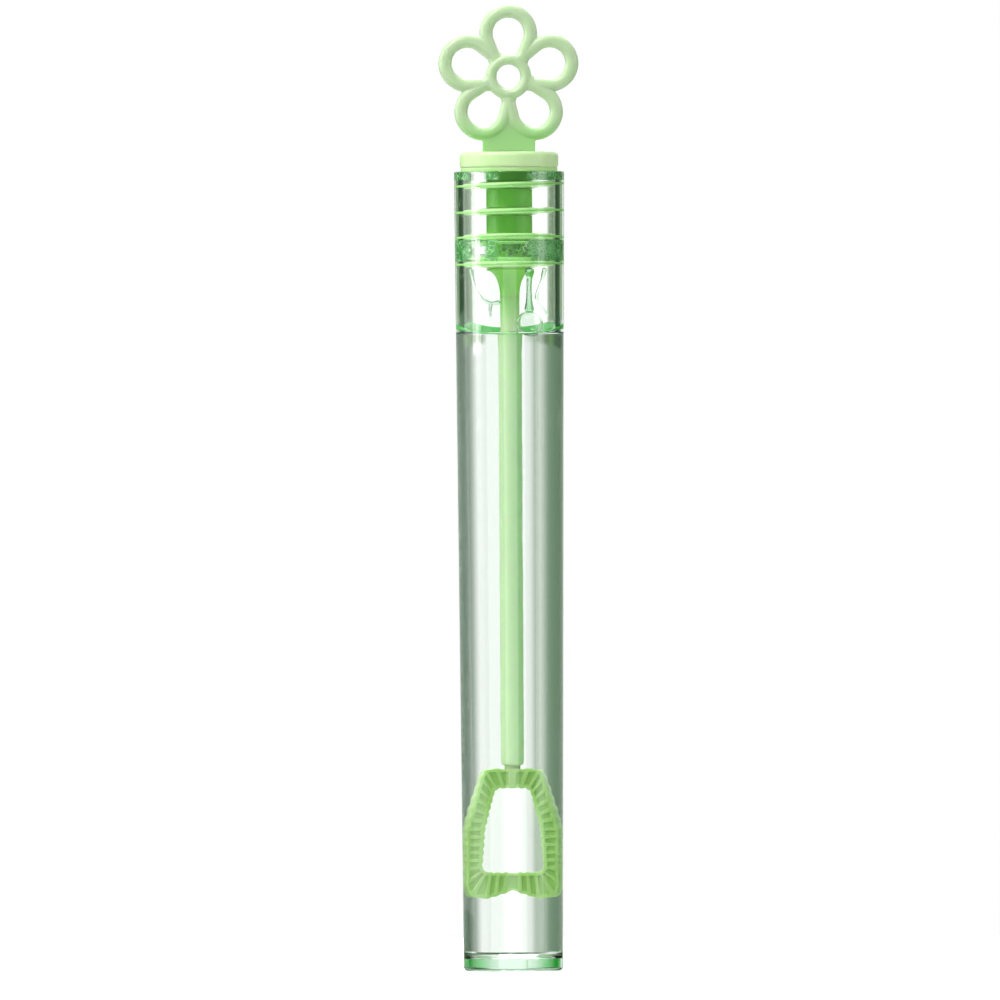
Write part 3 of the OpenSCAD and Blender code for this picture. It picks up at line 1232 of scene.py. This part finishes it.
@dataclass
class FlowerTopper:
    """The flower: five bent bars about a ring, on a flat tab that stands in the collar."""

    middle_z: float = 105.18
    petals: int = 5
    reach: float = 5.1
    petal_r: float = 2.61
    bar_r: float = 0.79
    pinch: float = 21.0
    hub_r: float = 2.045
    hub_bar: float = 0.65
    hub_half: float = 0.95
    rise: float = 8.9
    tab_half: float = 3.1
    tab_t: float = 1.1
    tongue_half: float = 1.7
    tongue_h: float = 1.4
    tongue_sink: float = 0.1
    tongue_round: float = 0.1
    bar_sides: int = 24
    bend_steps: int = 40
    grid: float = 0.085
    finish: MouldedPlastic = field(
        default_factory=lambda: MouldedPlastic(
            "topper_plastic",
            colour=(0.50, 0.65, 0.41),
            deep=(0.46, 0.62, 0.37),
            roughness=0.2,
            glow=0.4,
            glow_depth=0.0016,
            low_colour=(0.36, 0.62, 0.27),
            low_z=0.0980,
            high_z=0.1010,
        )
    )

    def leg(self) -> float:
        """The length of a petal's straight leg, down to the ring's middle line."""
        lean = math.radians(self.pinch)
        end = Vector((self.petal_r * math.cos(lean), self.reach - self.petal_r * math.sin(lean)))
        run = end.dot(Vector((math.sin(lean), math.cos(lean))))
        return run - math.sqrt(run * run - end.length_squared + self.hub_r * self.hub_r)

    def petal(self) -> bpy.types.Object:
        """Bends one petal's round bar above the flower's middle, with both legs.

        Returns:
            The petal.
        """
        lean = math.radians(self.pinch)
        middle = Vector((0.0, 0.0, self.middle_z + self.reach))
        start = middle + self.petal_r * Vector((math.cos(lean), 0.0, -math.sin(lean)))
        object_mode()
        bpy.ops.mesh.primitive_circle_add(
            vertices=self.bar_sides, radius=self.bar_r, location=start, rotation=(0.0, lean, 0.0)
        )
        piece = bpy.context.object
        settle()
        edit(piece)
        bpy.ops.mesh.select_all(action="SELECT")
        sweep = math.pi + 2 * lean
        bpy.ops.mesh.spin(steps=self.bend_steps, angle=sweep, center=middle, axis=(0.0, 1.0, 0.0))
        length = self.leg()
        bpy.ops.mesh.extrude_region_move(
            TRANSFORM_OT_translate={"value": (length * math.sin(lean), 0.0, -length * math.cos(lean))}
        )
        bpy.ops.mesh.edge_face_add()
        pick(piece, range(self.bar_sides))
        bpy.ops.mesh.extrude_region_move(
            TRANSFORM_OT_translate={"value": (-length * math.sin(lean), 0.0, -length * math.cos(lean))}
        )
        bpy.ops.mesh.edge_face_add()
        mend()
        object_mode()
        return piece

    def tab(self) -> bpy.types.Object:
        """Cuts the flat tab, which fills the corner between the two lowest petals.

        Returns:
            The tab.
        """
        lowest = math.radians(360.0 / self.petals * (self.petals // 2))
        spot = (self.reach * math.sin(lowest), self.reach * math.cos(lowest))
        curve = arc(spot, self.petal_r, -88.0, -180.0, 10)
        right = [(self.tab_half, -self.rise), *curve, (0.3, spot[1] + 1.2)]
        outline = right + [(-x, h) for x, h in reversed(right)]
        piece = trace("tab", [(x, -self.tab_t / 2, self.middle_z + h) for x, h in outline], True)
        bpy.ops.mesh.select_all(action="SELECT")
        bpy.ops.mesh.edge_face_add()
        bpy.ops.mesh.extrude_region_move(TRANSFORM_OT_translate={"value": (0.0, self.tab_t, 0.0)})
        mend()
        object_mode()
        return piece

    def build(self) -> bpy.types.Object:
        """Bends the petals, joins them to ring and tab, and melts the joints together.

        Returns:
            The piece.
        """
        first = self.petal()
        parts = [first]
        for i in range(1, self.petals):
            other = copy(first, f"petal_{i}")
            turn(other, 360.0 / self.petals * i, "Y", (0.0, 0.0, self.middle_z))
            parts.append(other)
        object_mode()
        bpy.ops.mesh.primitive_torus_add(
            major_segments=72, minor_segments=24, major_radius=self.hub_r, minor_radius=self.hub_bar,
            location=(0.0, 0.0, self.middle_z), rotation=(math.pi / 2, 0.0, 0.0),
        )
        hub = bpy.context.object
        settle()
        hub.data.transform(Matrix.Diagonal((1.0, self.hub_half / self.hub_bar, 1.0, 1.0)))
        parts += [hub, self.tab()]
        flower = join("flower_topper", parts)
        modify(flower, "REMESH", mode="VOXEL", voxel_size=self.grid)
        modify(flower, "SMOOTH", factor=0.5, iterations=4)
        foot = self.middle_z - self.rise
        object_mode()
        middle = foot - self.tongue_h / 2 + self.tongue_sink
        bpy.ops.mesh.primitive_cube_add(size=1.0, location=(0.0, 0.0, middle))
        tongue = bpy.context.object
        tall = self.tongue_h + 2 * self.tongue_sink
        tongue.scale = (2 * self.tongue_half, self.tab_t - self.tongue_sink, tall)
        settle()
        modify(tongue, "BEVEL", width=self.tongue_round, segments=2)
        flower = join("flower_topper", [flower, tongue])
        finish_piece(flower, self.finish.material(), Body.WAND, ("flower_topper",), 60.0)
        return flower


@dataclass
class SoapTraces:
    """What the soapy water leaves behind: wet corners, bubbles, strands and one bubble afloat; with painted
    highlights round the bubbles and a painted reflection at the liquid's edge.
    """

    tube: BubbleTube
    solution: Solution
    stopper: Stopper
    film_t: float = 0.1
    # The sizes of the painted reflection band at the liquid's edge.
    line_t: float = 0.1
    reflection_foot: float = 0.7
    reflection_top: float = 0.25
    reflection_mid: float = 0.8
    reflection_front: float = 3.2
    line_out: float = 0.06
    line_deep: float = 0.25
    gap: float = 0.02
    coat_t: float = 0.06
    rim_r: float = 0.05
    rim_out: float = 0.1
    ring_half: float = 0.3
    steps: int = 128
    bubble_place: Point = (2.2, -2.9, 76.05)
    bubble_r: float = 1.5
    seed: int = 21

    def wet_corner(self, name: str, z: float, height: float, width: float) -> bpy.types.Object:
        """Turns the liquid that clings between a ring and the wall.

        Args:
            name: The piece's name.
            z: The ring's face that it clings to.
            height: How far it climbs on the wall, downwards where negative.
            width: How far it reaches on the ring.

        Returns:
            The piece.
        """
        edge = self.tube.inner(z) - self.gap
        profile = [(edge, z)]
        for i in range(9):
            share = i / 8
            profile.append((edge - width * (1 - share) ** 2, z + height * share ** 2))
        return lathe(name, profile, True, self.steps)

    def beads(self, name: str, spots: Sequence[tuple[float, float, float, float]]) -> bpy.types.Object:
        """Makes round beads, each a little uneven.

        Args:
            name: The piece's name.
            spots: Angle in degrees, distance from the axis, height and radius of each.

        Returns:
            The piece.
        """
        uneven = random.Random(self.seed)
        parts = []
        for angle, out, z, radius in spots:
            object_mode()
            place = (out * math.cos(math.radians(angle)), out * math.sin(math.radians(angle)), z)
            bpy.ops.mesh.primitive_uv_sphere_add(segments=24, ring_count=14, radius=radius, location=place)
            bead = bpy.context.object
            edit(bead)
            bpy.ops.mesh.select_all(action="SELECT")
            size = [uneven.uniform(0.9, 1.08) for _ in range(3)]
            bpy.ops.transform.resize(value=size, center_override=place)
            activate(bead)
            settle()
            parts.append(bead)
        return join(name, parts)

    def wall_foam(self, name: str, low: float, high: float) -> bpy.types.Object:
        """Turns the thin coat of foam on the wall between two rings.

        Args:
            name: The piece's name.
            low: Its lower edge.
            high: Its upper edge.

        Returns:
            The piece.
        """
        out = self.tube.inner(low) + self.gap
        inside = out - self.coat_t
        return lathe(name, [(out, low), (out, high), (inside, high), (inside, low)], True, self.steps)

    def bubble_rim_highlights(self, name: str, spots: Sequence[tuple[float, float, float, float]]) -> bpy.types.Object:
        """Lays a thin pale ring round each bubble, a painted highlight of its bright rim.

        Args:
            name: The piece's name.
            spots: Angle in degrees, distance from the axis, height and radius of each bubble.

        Returns:
            The piece.
        """
        parts = []
        for angle, out, z, radius in spots:
            object_mode()
            turned = math.radians(angle)
            away = out + self.rim_out
            bpy.ops.mesh.primitive_torus_add(
                major_segments=28, minor_segments=8, major_radius=radius, minor_radius=self.rim_r,
                location=(away * math.cos(turned), away * math.sin(turned), z),
                rotation=(0.0, math.pi / 2, turned),
            )
            ring = bpy.context.object
            settle()
            parts.append(ring)
        return join(name, parts)

    def strand(self, name: str, points: Sequence[Point], widths: Sequence[float]) -> bpy.types.Object:
        """Grows a rounded strand round a line.

        Args:
            name: The piece's name.
            points: The line's points.
            widths: The radius at each point.

        Returns:
            The piece.
        """
        piece = trace(name, points, False)
        activate(piece)
        bpy.ops.object.modifier_add(type="SKIN")
        for spot, width in zip(piece.data.skin_vertices[0].data, widths):
            spot.radius = (width, width)
        bpy.ops.object.modifier_apply(modifier=piece.modifiers[-1].name)
        modify(piece, "SUBSURF", levels=2, render_levels=2)
        return piece

    def build(self) -> None:
        """Makes all traces, the painted highlights and the painted reflection, and hands each to the body
        that carries it.
        """
        water = SoapyWater("soap_traces", tint=(0.3, 0.9, 0.4), density=400.0, swirl=0.0).material()
        low, last = self.stopper.ring_z[2], self.stopper.ring_z[3]
        corners = join("wet_corners", [
            self.wet_corner("wet_under", low - self.ring_half, height=-0.75, width=1.2),
            self.wet_corner("wet_over", last + self.ring_half, height=0.9, width=1.4),
        ])
        finish_piece(corners, water, Body.SEALS, (), 60.0)
        rng = random.Random(self.seed)
        spots = []
        for _ in range(26):
            angle = -90.0 + rng.gauss(0.0, 26.0)
            spots.append((angle, 2.78, rng.uniform(last + 0.55, low - 0.5), rng.uniform(0.14, 0.44)))
        for _ in range(16):
            angle = -40.0 + rng.uniform(-26.0, 50.0)
            out = self.tube.inner(last) - rng.uniform(0.25, 1.4)
            spots.append((angle, out, rng.uniform(last + 0.5, low - 0.5), rng.uniform(0.16, 0.5)))
        for _ in range(9):
            angle = -150.0 + rng.uniform(-30.0, 22.0)
            out = self.tube.inner(last) - rng.uniform(0.2, 0.5)
            spots.append((angle, out, rng.uniform(last + 0.4, low - 0.4), rng.uniform(0.1, 0.3)))
        foam = self.beads("neck_foam", spots)
        finish_piece(foam, water, Body.SEALS, (), 60.0)
        lather = SoapFoam("soap_foam").material()
        coat = join("wall_foam", [
            self.wall_foam("foam_low", last + 0.32, low - 0.28),
            self.wall_foam("foam_rim", self.stopper.rim_z - 1.0, self.stopper.rim_z - 0.16),
        ])
        finish_piece(coat, lather, Body.SEALS, (), 60.0)
        # Painted highlight: pale rings stand for the bright rims of the bubbles.
        painted_rim_highlight = MouldedPlastic(
            "bubble_rim_highlights", colour=(0.62, 0.86, 0.55), deep=(0.50, 0.80, 0.44), roughness=0.12
        ).material()
        rims = self.bubble_rim_highlights("bubble_rim_highlights", spots)
        finish_piece(rims, painted_rim_highlight, Body.SEALS, (), 60.0)
        film = SoapyWater("soap_films", tint=(0.34, 0.80, 0.40), density=1200.0, swirl=0.0).material()
        left = self.strand(
            "film_left",
            [(-4.5, -0.6, 82.7), (-4.3, -0.6, 81.4), (-3.9, -0.6, 80.0),
             (-3.1, -0.6, 78.9), (-2.2, -0.5, 78.45), (-1.05, -0.4, 78.6)],
            [0.34, 0.2, 0.18, 0.19, 0.22, 0.34],
        )
        drip = self.strand("film_drip", [(-2.2, -0.5, 78.5), (-2.3, -0.5, 77.7), (-2.25, -0.5, 76.8)],
                           [0.24, 0.2, 0.1])
        column = self.strand(
            "film_column",
            [(2.3, -2.6, 82.7), (2.25, -2.6, 81.6), (2.2, -2.6, 80.0),
             (2.2, -2.65, 78.6), (2.2, -2.8, 77.35)],
            [0.85, 0.36, 0.3, 0.4, 0.7],
        )
        right = self.strand(
            "film_right",
            [(4.1, -0.8, 82.7), (3.75, -0.8, 81.2), (3.2, -0.9, 79.8),
             (3.1, -0.9, 79.1), (3.5, -0.9, 78.2), (4.5, -0.9, 77.0)],
            [0.34, 0.22, 0.2, 0.24, 0.2, 0.16],
        )
        films = join("soap_strands", [left, drip, column, right])
        finish_piece(films, film, Body.SEALS, (), 60.0)
        # Painted reflection: an opaque green band where the curved liquid surface shows a green reflection.
        line = self.painted_meniscus_reflection()
        band = MouldedPlastic(
            "painted_meniscus_reflection", colour=(0.16, 0.62, 0.18), deep=(0.11, 0.52, 0.13), roughness=0.12, glow=0.2
        ).material()
        finish_piece(line, band, Body.TUBE, (), 60.0)
        bubble = self.floating_bubble()
        finish_piece(bubble, film, Body.TUBE, (), 60.0)
        for piece in (corners, foam, coat, rims, films, line, bubble):
            let_light_in(piece)
        for piece in (line, bubble):
            self.solution.sink(piece)

    def painted_meniscus_reflection(self) -> bpy.types.Object:
        """Turns a green band on the wall at the liquid's edge, high at the sides and thin in front: a painted
        reflection in the curved liquid surface.

        Returns:
            The piece.
        """
        level = self.solution.level
        out = self.tube.inner(level) + self.line_out
        inside = out - self.line_deep
        profile = [(out, 0.0), (out, 1.0), (inside, 0.8), (inside, 0.0)]
        piece = lathe("painted_meniscus_reflection", profile, True, self.solution.steps)
        for vertex in piece.data.vertices:
            side = min(1.0, abs(vertex.co.x) / out)
            back = min(1.0, max(0.0, (vertex.co.y + self.reflection_front) / (2 * self.reflection_front)))
            foot = self.reflection_foot * side ** 3
            top = foot + self.line_t + (self.reflection_top * side ** 2 + self.reflection_mid) * back
            vertex.co.z = level + foot + (top - foot) * vertex.co.z
        return piece

    def floating_bubble(self) -> bpy.types.Object:
        """Blows the bubble that floats by the stem.

        Returns:
            The bubble, as a thin shell.
        """
        object_mode()
        bpy.ops.mesh.primitive_uv_sphere_add(
            segments=48, ring_count=28, radius=self.bubble_r, location=self.bubble_place
        )
        bubble = entitle(bpy.context.object, "floating_bubble")
        settle()
        modify(bubble, "SOLIDIFY", thickness=self.film_t, offset=-1.0)
        return bubble


@dataclass(frozen=True)
class Card:
    """A curved card round the tube, coloured by degrees from straight behind, to the right where positive."""

    name: str
    tones: Tones
    neck_tones: Tones = ()
    radius: float = 420.0
    low: float = -12.0
    high: float = 130.0


@dataclass
class Studio:
    """The white table, the soft light, the cards that stand round the clear tube, and the camera."""

    frame_mm: float = 117.65
    lens: float = 800.0
    sensor: float = 36.0
    centre_x: float = -1.28
    centre_z: float = 55.36
    roll: float = 0.329
    ambient: float = 0.25
    floor_r: float = 200.0
    floor_z: float = -0.02
    table_tone: Colour = (0.82, 0.82, 0.82)
    # Painted contact shadow round the tube's foot.
    painted_shadow_tone: Colour = (0.30, 0.42, 0.31)
    painted_shadow_far: float = 7.5
    painted_shadow_near: float = 5.2
    neck_blend: float = 0.4
    bounces: int = 200
    layers: int = 24
    # Painted green glow under the tube's foot.
    painted_glow_r: float = 5.6
    painted_glow_tone: Colour = (0.09, 0.52, 0.11)
    deep_z: float = -400.0
    step_z: float = -45.0
    sky_z: float = 600.0
    ring_r: float = 12.0
    ring_low: float = -0.2
    ring_high: float = 1.25
    backlight: float = 1.2
    neck_z: float = 79.0
    front_z: float = 82.0
    white: Colour = (1.0, 1.0, 1.0)
    pale: Colour = (0.45, 0.52, 0.45)
    mid: Colour = (0.15, 0.23, 0.15)
    dark: Colour = (0.07, 0.13, 0.07)
    # Colours of the painted green glow round the tube's foot.
    painted_foot_pale: Colour = (0.35, 0.70, 0.38)
    painted_foot_green: Colour = (0.02, 0.34, 0.035)
    front_tone: Colour = (0.10, 0.12, 0.10)
    right_tones: Tones = (
        (12.0, (1.1, 1.1, 1.1)),
        (18.5, (1.0, 1.0, 1.0)),
        (24.0, (0.32, 0.39, 0.32)),
        (30.0, (0.06, 0.12, 0.07)),
        (38.0, (0.02, 0.07, 0.03)),
        (52.0, (0.04, 0.09, 0.05)),
        (95.0, (0.04, 0.09, 0.05)),
    )
    left_tones: Tones = (
        (-7.0, (1.1, 1.1, 1.1)),
        (-9.5, (1.0, 1.02, 1.0)),
        (-12.5, (0.54, 0.61, 0.53)),
        (-16.0, (0.43, 0.51, 0.42)),
        (-20.0, (0.36, 0.45, 0.36)),
        (-24.0, (0.24, 0.34, 0.24)),
        (-31.0, (0.16, 0.26, 0.16)),
        (-41.0, (0.11, 0.19, 0.10)),
        (-52.0, (0.09, 0.16, 0.09)),
        (-60.0, (0.18, 0.26, 0.18)),
        (-66.0, (0.6, 0.66, 0.6)),
        (-70.0, (1.0, 1.0, 1.0)),
    )
    neck_right_tones: Tones = (
        (12.0, (1.0, 1.0, 1.0)),
        (15.0, (0.34, 0.44, 0.29)),
        (22.0, (0.20, 0.30, 0.17)),
        (27.0, (0.25, 0.40, 0.20)),
        (34.0, (0.05, 0.10, 0.045)),
        (42.0, (0.03, 0.06, 0.03)),
        (95.0, (0.03, 0.06, 0.03)),
    )
    neck_left_tones: Tones = (
        (-7.0, (1.0, 1.0, 1.0)),
        (-11.0, (0.6, 0.7, 0.58)),
        (-15.0, (0.20, 0.30, 0.18)),
        (-20.0, (0.12, 0.19, 0.10)),
        (-25.0, (0.20, 0.34, 0.15)),
        (-31.0, (0.06, 0.12, 0.06)),
        (-38.0, (0.015, 0.05, 0.02)),
        (-52.0, (0.03, 0.07, 0.03)),
        (-60.0, (0.16, 0.24, 0.16)),
        (-66.0, (0.6, 0.66, 0.6)),
        (-70.0, (1.0, 1.0, 1.0)),
    )

    def build(self) -> None:
        """Sets the whole stage."""
        self.world()
        self.floor()
        for card in self.cards():
            self.stand(card)
        self.lamp("strip", 79.0, 0.0, 0.62, (0.16, 0.44), 0.29, 1.2, Lit.GLOSS)
        self.lamp("strip_right", -70.0, 0.0, 0.62, (0.26, 0.40), 0.33, 0.6, Lit.GLOSS)
        self.lamp("key", 48.0, 50.0, 0.70, (0.45, 0.45), 0.0554, 5.0)
        self.lamp("rim", 170.0, 62.0, 0.70, (0.5, 0.3), 0.09, 4.2)
        self.lamp("fill", -62.0, 14.0, 0.70, (0.45, 0.45), 0.0554, 0.75, Lit.DIFFUSE)
        self.camera()

    def cards(self) -> list[Card]:
        """Lists the cards, which leave the surround open straight behind the tube from several sides.

        Returns:
            The cards.
        """
        white, pale, mid, dark = self.white, self.pale, self.mid, self.dark
        green, light = self.painted_foot_green, self.painted_foot_pale
        step = {"low": self.deep_z, "high": self.step_z}
        between = {"low": self.step_z, "high": Card.low}
        ring = {"radius": self.ring_r, "low": self.ring_low, "high": self.ring_high}
        front = self.front_tone
        return [
            Card("card_right", self.right_tones, self.neck_right_tones, low=self.step_z),
            Card("card_left", self.left_tones, self.neck_left_tones, low=self.step_z),
            Card("card_front", ((165.0, front), (195.0, front)), low=self.front_z, high=self.sky_z),
            Card("front_right", ((118.0, front), (165.0, front)), high=self.sky_z),
            Card("front_left", ((-108.0, white), (-114.0, pale), (-122.0, front), (-165.0, front)),
                 low=self.step_z, high=self.sky_z),
            Card("low_back", ((-24.0, white), (-20.0, pale), (-12.0, mid), (0.0, dark), (20.0, dark)),
                 **step),
            Card("low_right", ((20.0, dark), (90.0, dark), (102.0, mid), (110.0, pale), (114.0, white)),
                 **step),
            Card("low_left", ((-66.0, white), (-70.0, pale), (-78.0, mid), (-90.0, dark), (-112.0, dark)),
                 **step),
            Card("low_side", ((-112.0, dark), (-179.9, dark)), **step),
            Card("low_front", ((156.0, white), (160.0, pale), (168.0, mid), (179.9, dark)),
                 low=self.deep_z, high=Card.low),
            Card("mid_right", ((95.0, dark), (102.0, mid), (110.0, pale), (114.0, white)), **between),
            Card("mid_side", ((-165.0, dark), (-179.9, dark)), **between),
            # Painted green glow: two low green rings close round the foot, seen only through the clear
            # pieces, tint the tube's base.
            Card("painted_glow_ring_right", ((4.0, white), (12.0, light), (24.0, green), (60.0, green)), **ring),
            Card("painted_glow_ring_left", ((-4.0, white), (-12.0, light), (-24.0, green), (-36.0, green)), **ring),
        ]

    def world(self) -> None:
        """A white surround that is seen at full strength and lights softly."""
        made = bpy.data.worlds.new("studio")
        bpy.context.scene.world = made
        made.use_nodes = True
        g = Graph(made.node_tree)
        through = g.node("ShaderNodeLightPath", output="Is Transmission Ray")
        strength = self.seen(g) * (1 - self.ambient) + self.ambient + through * (self.backlight - 1)
        soft = g.node("ShaderNodeBackground", inputs={"Color": (1.0, 1.0, 1.0), "Strength": strength})
        g.node("ShaderNodeOutputWorld", inputs={"Surface": soft})

    @staticmethod
    def seen(g: Graph) -> Wire:
        """1 for the rays that show the surround, 0 for those that light by it."""
        kinds = ("Camera", "Glossy", "Transmission")
        camera, glossy, through = (g.node("ShaderNodeLightPath", output=f"Is {kind} Ray") for kind in kinds)
        return camera.larger(glossy).larger(through)

    def floor(self) -> None:
        """A pale round table that keeps the shadow, with a painted contact shadow round the tube's foot."""
        object_mode()
        bpy.ops.mesh.primitive_circle_add(
            vertices=96, radius=self.floor_r * MM, fill_type="NGON", location=(0.0, 0.0, self.floor_z * MM)
        )
        table = bpy.context.object
        table.name = "table"
        material, g = new_material("table_white")
        # Painted contact shadow: the table darkens towards the tube's foot, which casts no shadow of its own.
        here = g.node("ShaderNodeVectorMath", {"operation": "LENGTH"}, {0: g.place()}, output="Value")
        near = here.step(self.painted_shadow_far * MM, self.painted_shadow_near * MM)
        shade = g.mix(near, self.table_tone, self.painted_shadow_tone)
        paint = g.node("ShaderNodeBsdfDiffuse", inputs={"Color": shade})
        glow = g.node("ShaderNodeEmission", inputs={"Color": shade, "Strength": self.seen(g) * 0.5})
        both = g.node("ShaderNodeAddShader", inputs={0: paint, 1: glow})
        g.node("ShaderNodeOutputMaterial", inputs={"Surface": both})
        table.data.materials.append(material)
        table.visible_transmission = False
        table.visible_glossy = False
        self.painted_foot_glow()

    def painted_foot_glow(self) -> None:
        """Lays a painted green glow for the light that gathers under the tube's foot, which only the clear
        pieces see.
        """
        object_mode()
        bpy.ops.mesh.primitive_circle_add(
            vertices=64, radius=self.painted_glow_r * MM, fill_type="NGON",
            location=(0.0, 0.0, self.floor_z * MM / 2),
        )
        shade = bpy.context.object
        shade.name = "painted_foot_glow"
        material, g = new_material("painted_foot_glow")
        glow = g.node("ShaderNodeEmission", inputs={"Color": self.painted_glow_tone, "Strength": 1.0})
        g.node("ShaderNodeOutputMaterial", inputs={"Surface": glow})
        shade.data.materials.append(material)
        self.hide_from_light(shade)

    @staticmethod
    def hide_from_light(piece: bpy.types.Object) -> None:
        """Leaves a piece of the stage to be seen through and in clear pieces only.

        Args:
            piece: The piece.
        """
        piece.visible_camera = False
        piece.visible_diffuse = False
        piece.visible_shadow = False

    def stand(self, card: Card) -> None:
        """Stands a card up, which only clear and glossy pieces see.

        Args:
            card: The card.
        """
        start, end = card.tones[0][0], card.tones[-1][0]
        piece = trace(card.name, [(0.0, card.radius, card.low), (0.0, card.radius, card.high)], False)
        bpy.ops.mesh.select_all(action="SELECT")
        bpy.ops.mesh.spin(steps=48, angle=math.radians(abs(end - start)), center=(0.0, 0.0, 0.0), axis=UP)
        object_mode()
        turn(piece, -min(start, end), "Z")
        activate(piece)
        piece.scale = (MM, MM, MM)
        settle()
        material, g = new_material(card.name)
        place = g.place()
        across = g.node("ShaderNodeSeparateXYZ", inputs={0: place}, output="X")
        deep = g.node("ShaderNodeSeparateXYZ", inputs={0: place}, output="Y")
        angle = g.node("ShaderNodeMath", {"operation": "ARCTAN2"}, {0: across, 1: deep})
        share = (angle - math.radians(start)) / math.radians(end - start)
        ramps = []
        for group in (card.tones, card.neck_tones or card.tones):
            stops = [((at - start) / (end - start), tone) for at, tone in group]
            ramps.append(g.node("ShaderNodeValToRGB", {"stops": stops}, {"Fac": share}))
        height = g.node("ShaderNodeSeparateXYZ", inputs={0: place}, output="Z")
        low, high = self.neck_z - self.neck_blend, self.neck_z + self.neck_blend
        tone = g.mix(height.step(low * MM, high * MM), *ramps)
        glow = g.node("ShaderNodeEmission", inputs={"Color": tone, "Strength": 1.0})
        g.node("ShaderNodeOutputMaterial", inputs={"Surface": glow})
        piece.data.materials.append(material)
        self.hide_from_light(piece)

    def lamp(
        self, name: str, side: float, rise: float, away: float, size: Flat, aim: float, power: float,
        lit: Lit = Lit.BOTH,
    ) -> None:
        """Hangs a soft lamp that faces the object.

        Args:
            name: The lamp's name.
            side: Degrees to the left of the camera.
            rise: Degrees above the table.
            away: Its distance in metres.
            size: Its width and height in metres.
            aim: The height on the axis that it faces, in metres.
            power: Its power in watts.
            lit: Which light it gives.
        """
        data = bpy.data.lights.new(name, "AREA")
        data.shape = "RECTANGLE"
        data.size, data.size_y = size
        data.energy = power
        data.diffuse_factor = 0.0 if lit is Lit.GLOSS else 1.0
        data.specular_factor = 0.0 if lit is Lit.DIFFUSE else 1.0
        made = bpy.data.objects.new(name, data)
        bpy.context.collection.objects.link(made)
        flat = away * math.cos(math.radians(rise))
        made.location = (
            -flat * math.sin(math.radians(side)),
            -flat * math.cos(math.radians(side)),
            away * math.sin(math.radians(rise)) + aim,
        )
        made.rotation_euler = (Vector((0.0, 0.0, aim)) - made.location).to_track_quat("-Z", "Y").to_euler()

    def camera(self) -> None:
        """Stands the camera level in front of the tube, turned a little as in the photograph."""
        data = bpy.data.cameras.new("camera")
        data.lens = self.lens
        data.sensor_width = self.sensor
        data.clip_end = 20.0
        made = bpy.data.objects.new("camera", data)
        bpy.context.collection.objects.link(made)
        away = self.frame_mm * self.lens / self.sensor
        made.location = (self.centre_x * MM, -away * MM, self.centre_z * MM)
        made.rotation_euler = (math.pi / 2, math.radians(self.roll), 0.0)
        scene = bpy.context.scene
        scene.camera = made
        scene.view_settings.view_transform = "Standard"
        scene.cycles.max_bounces = self.bounces
        scene.cycles.transmission_bounces = self.bounces
        scene.cycles.transparent_max_bounces = self.layers


def main() -> None:
    """Builds the part and the stage."""
    logging.basicConfig(level=logging.INFO, format="%(name)s %(message)s")
    tube = BubbleTube()
    tube.build()
    solution = Solution(tube)
    solution.build()
    stopper = Stopper()
    stopper.build()
    seal = MouldedPlastic(
        "seal_plastic", colour=(0.50, 0.82, 0.36), deep=(0.44, 0.78, 0.30), roughness=0.22, glow=0.45
    ).material()
    leans = ((1.7, 0.0), (1.7, 0.0), (2.2, -75.0), (0.8, -20.0))
    for number, (z, (tilt, towards)) in enumerate(zip(stopper.ring_z, leans), 1):
        lip = tube.inner(z) + 0.03
        SealRing(number, z, lip, tilt, towards).build(seal)
    WandStem().build()
    BubbleLoop().build()
    FlowerTopper().build()
    SoapTraces(tube, solution, stopper).build()
    Studio().build()


if __name__ == "__main__":
    main()
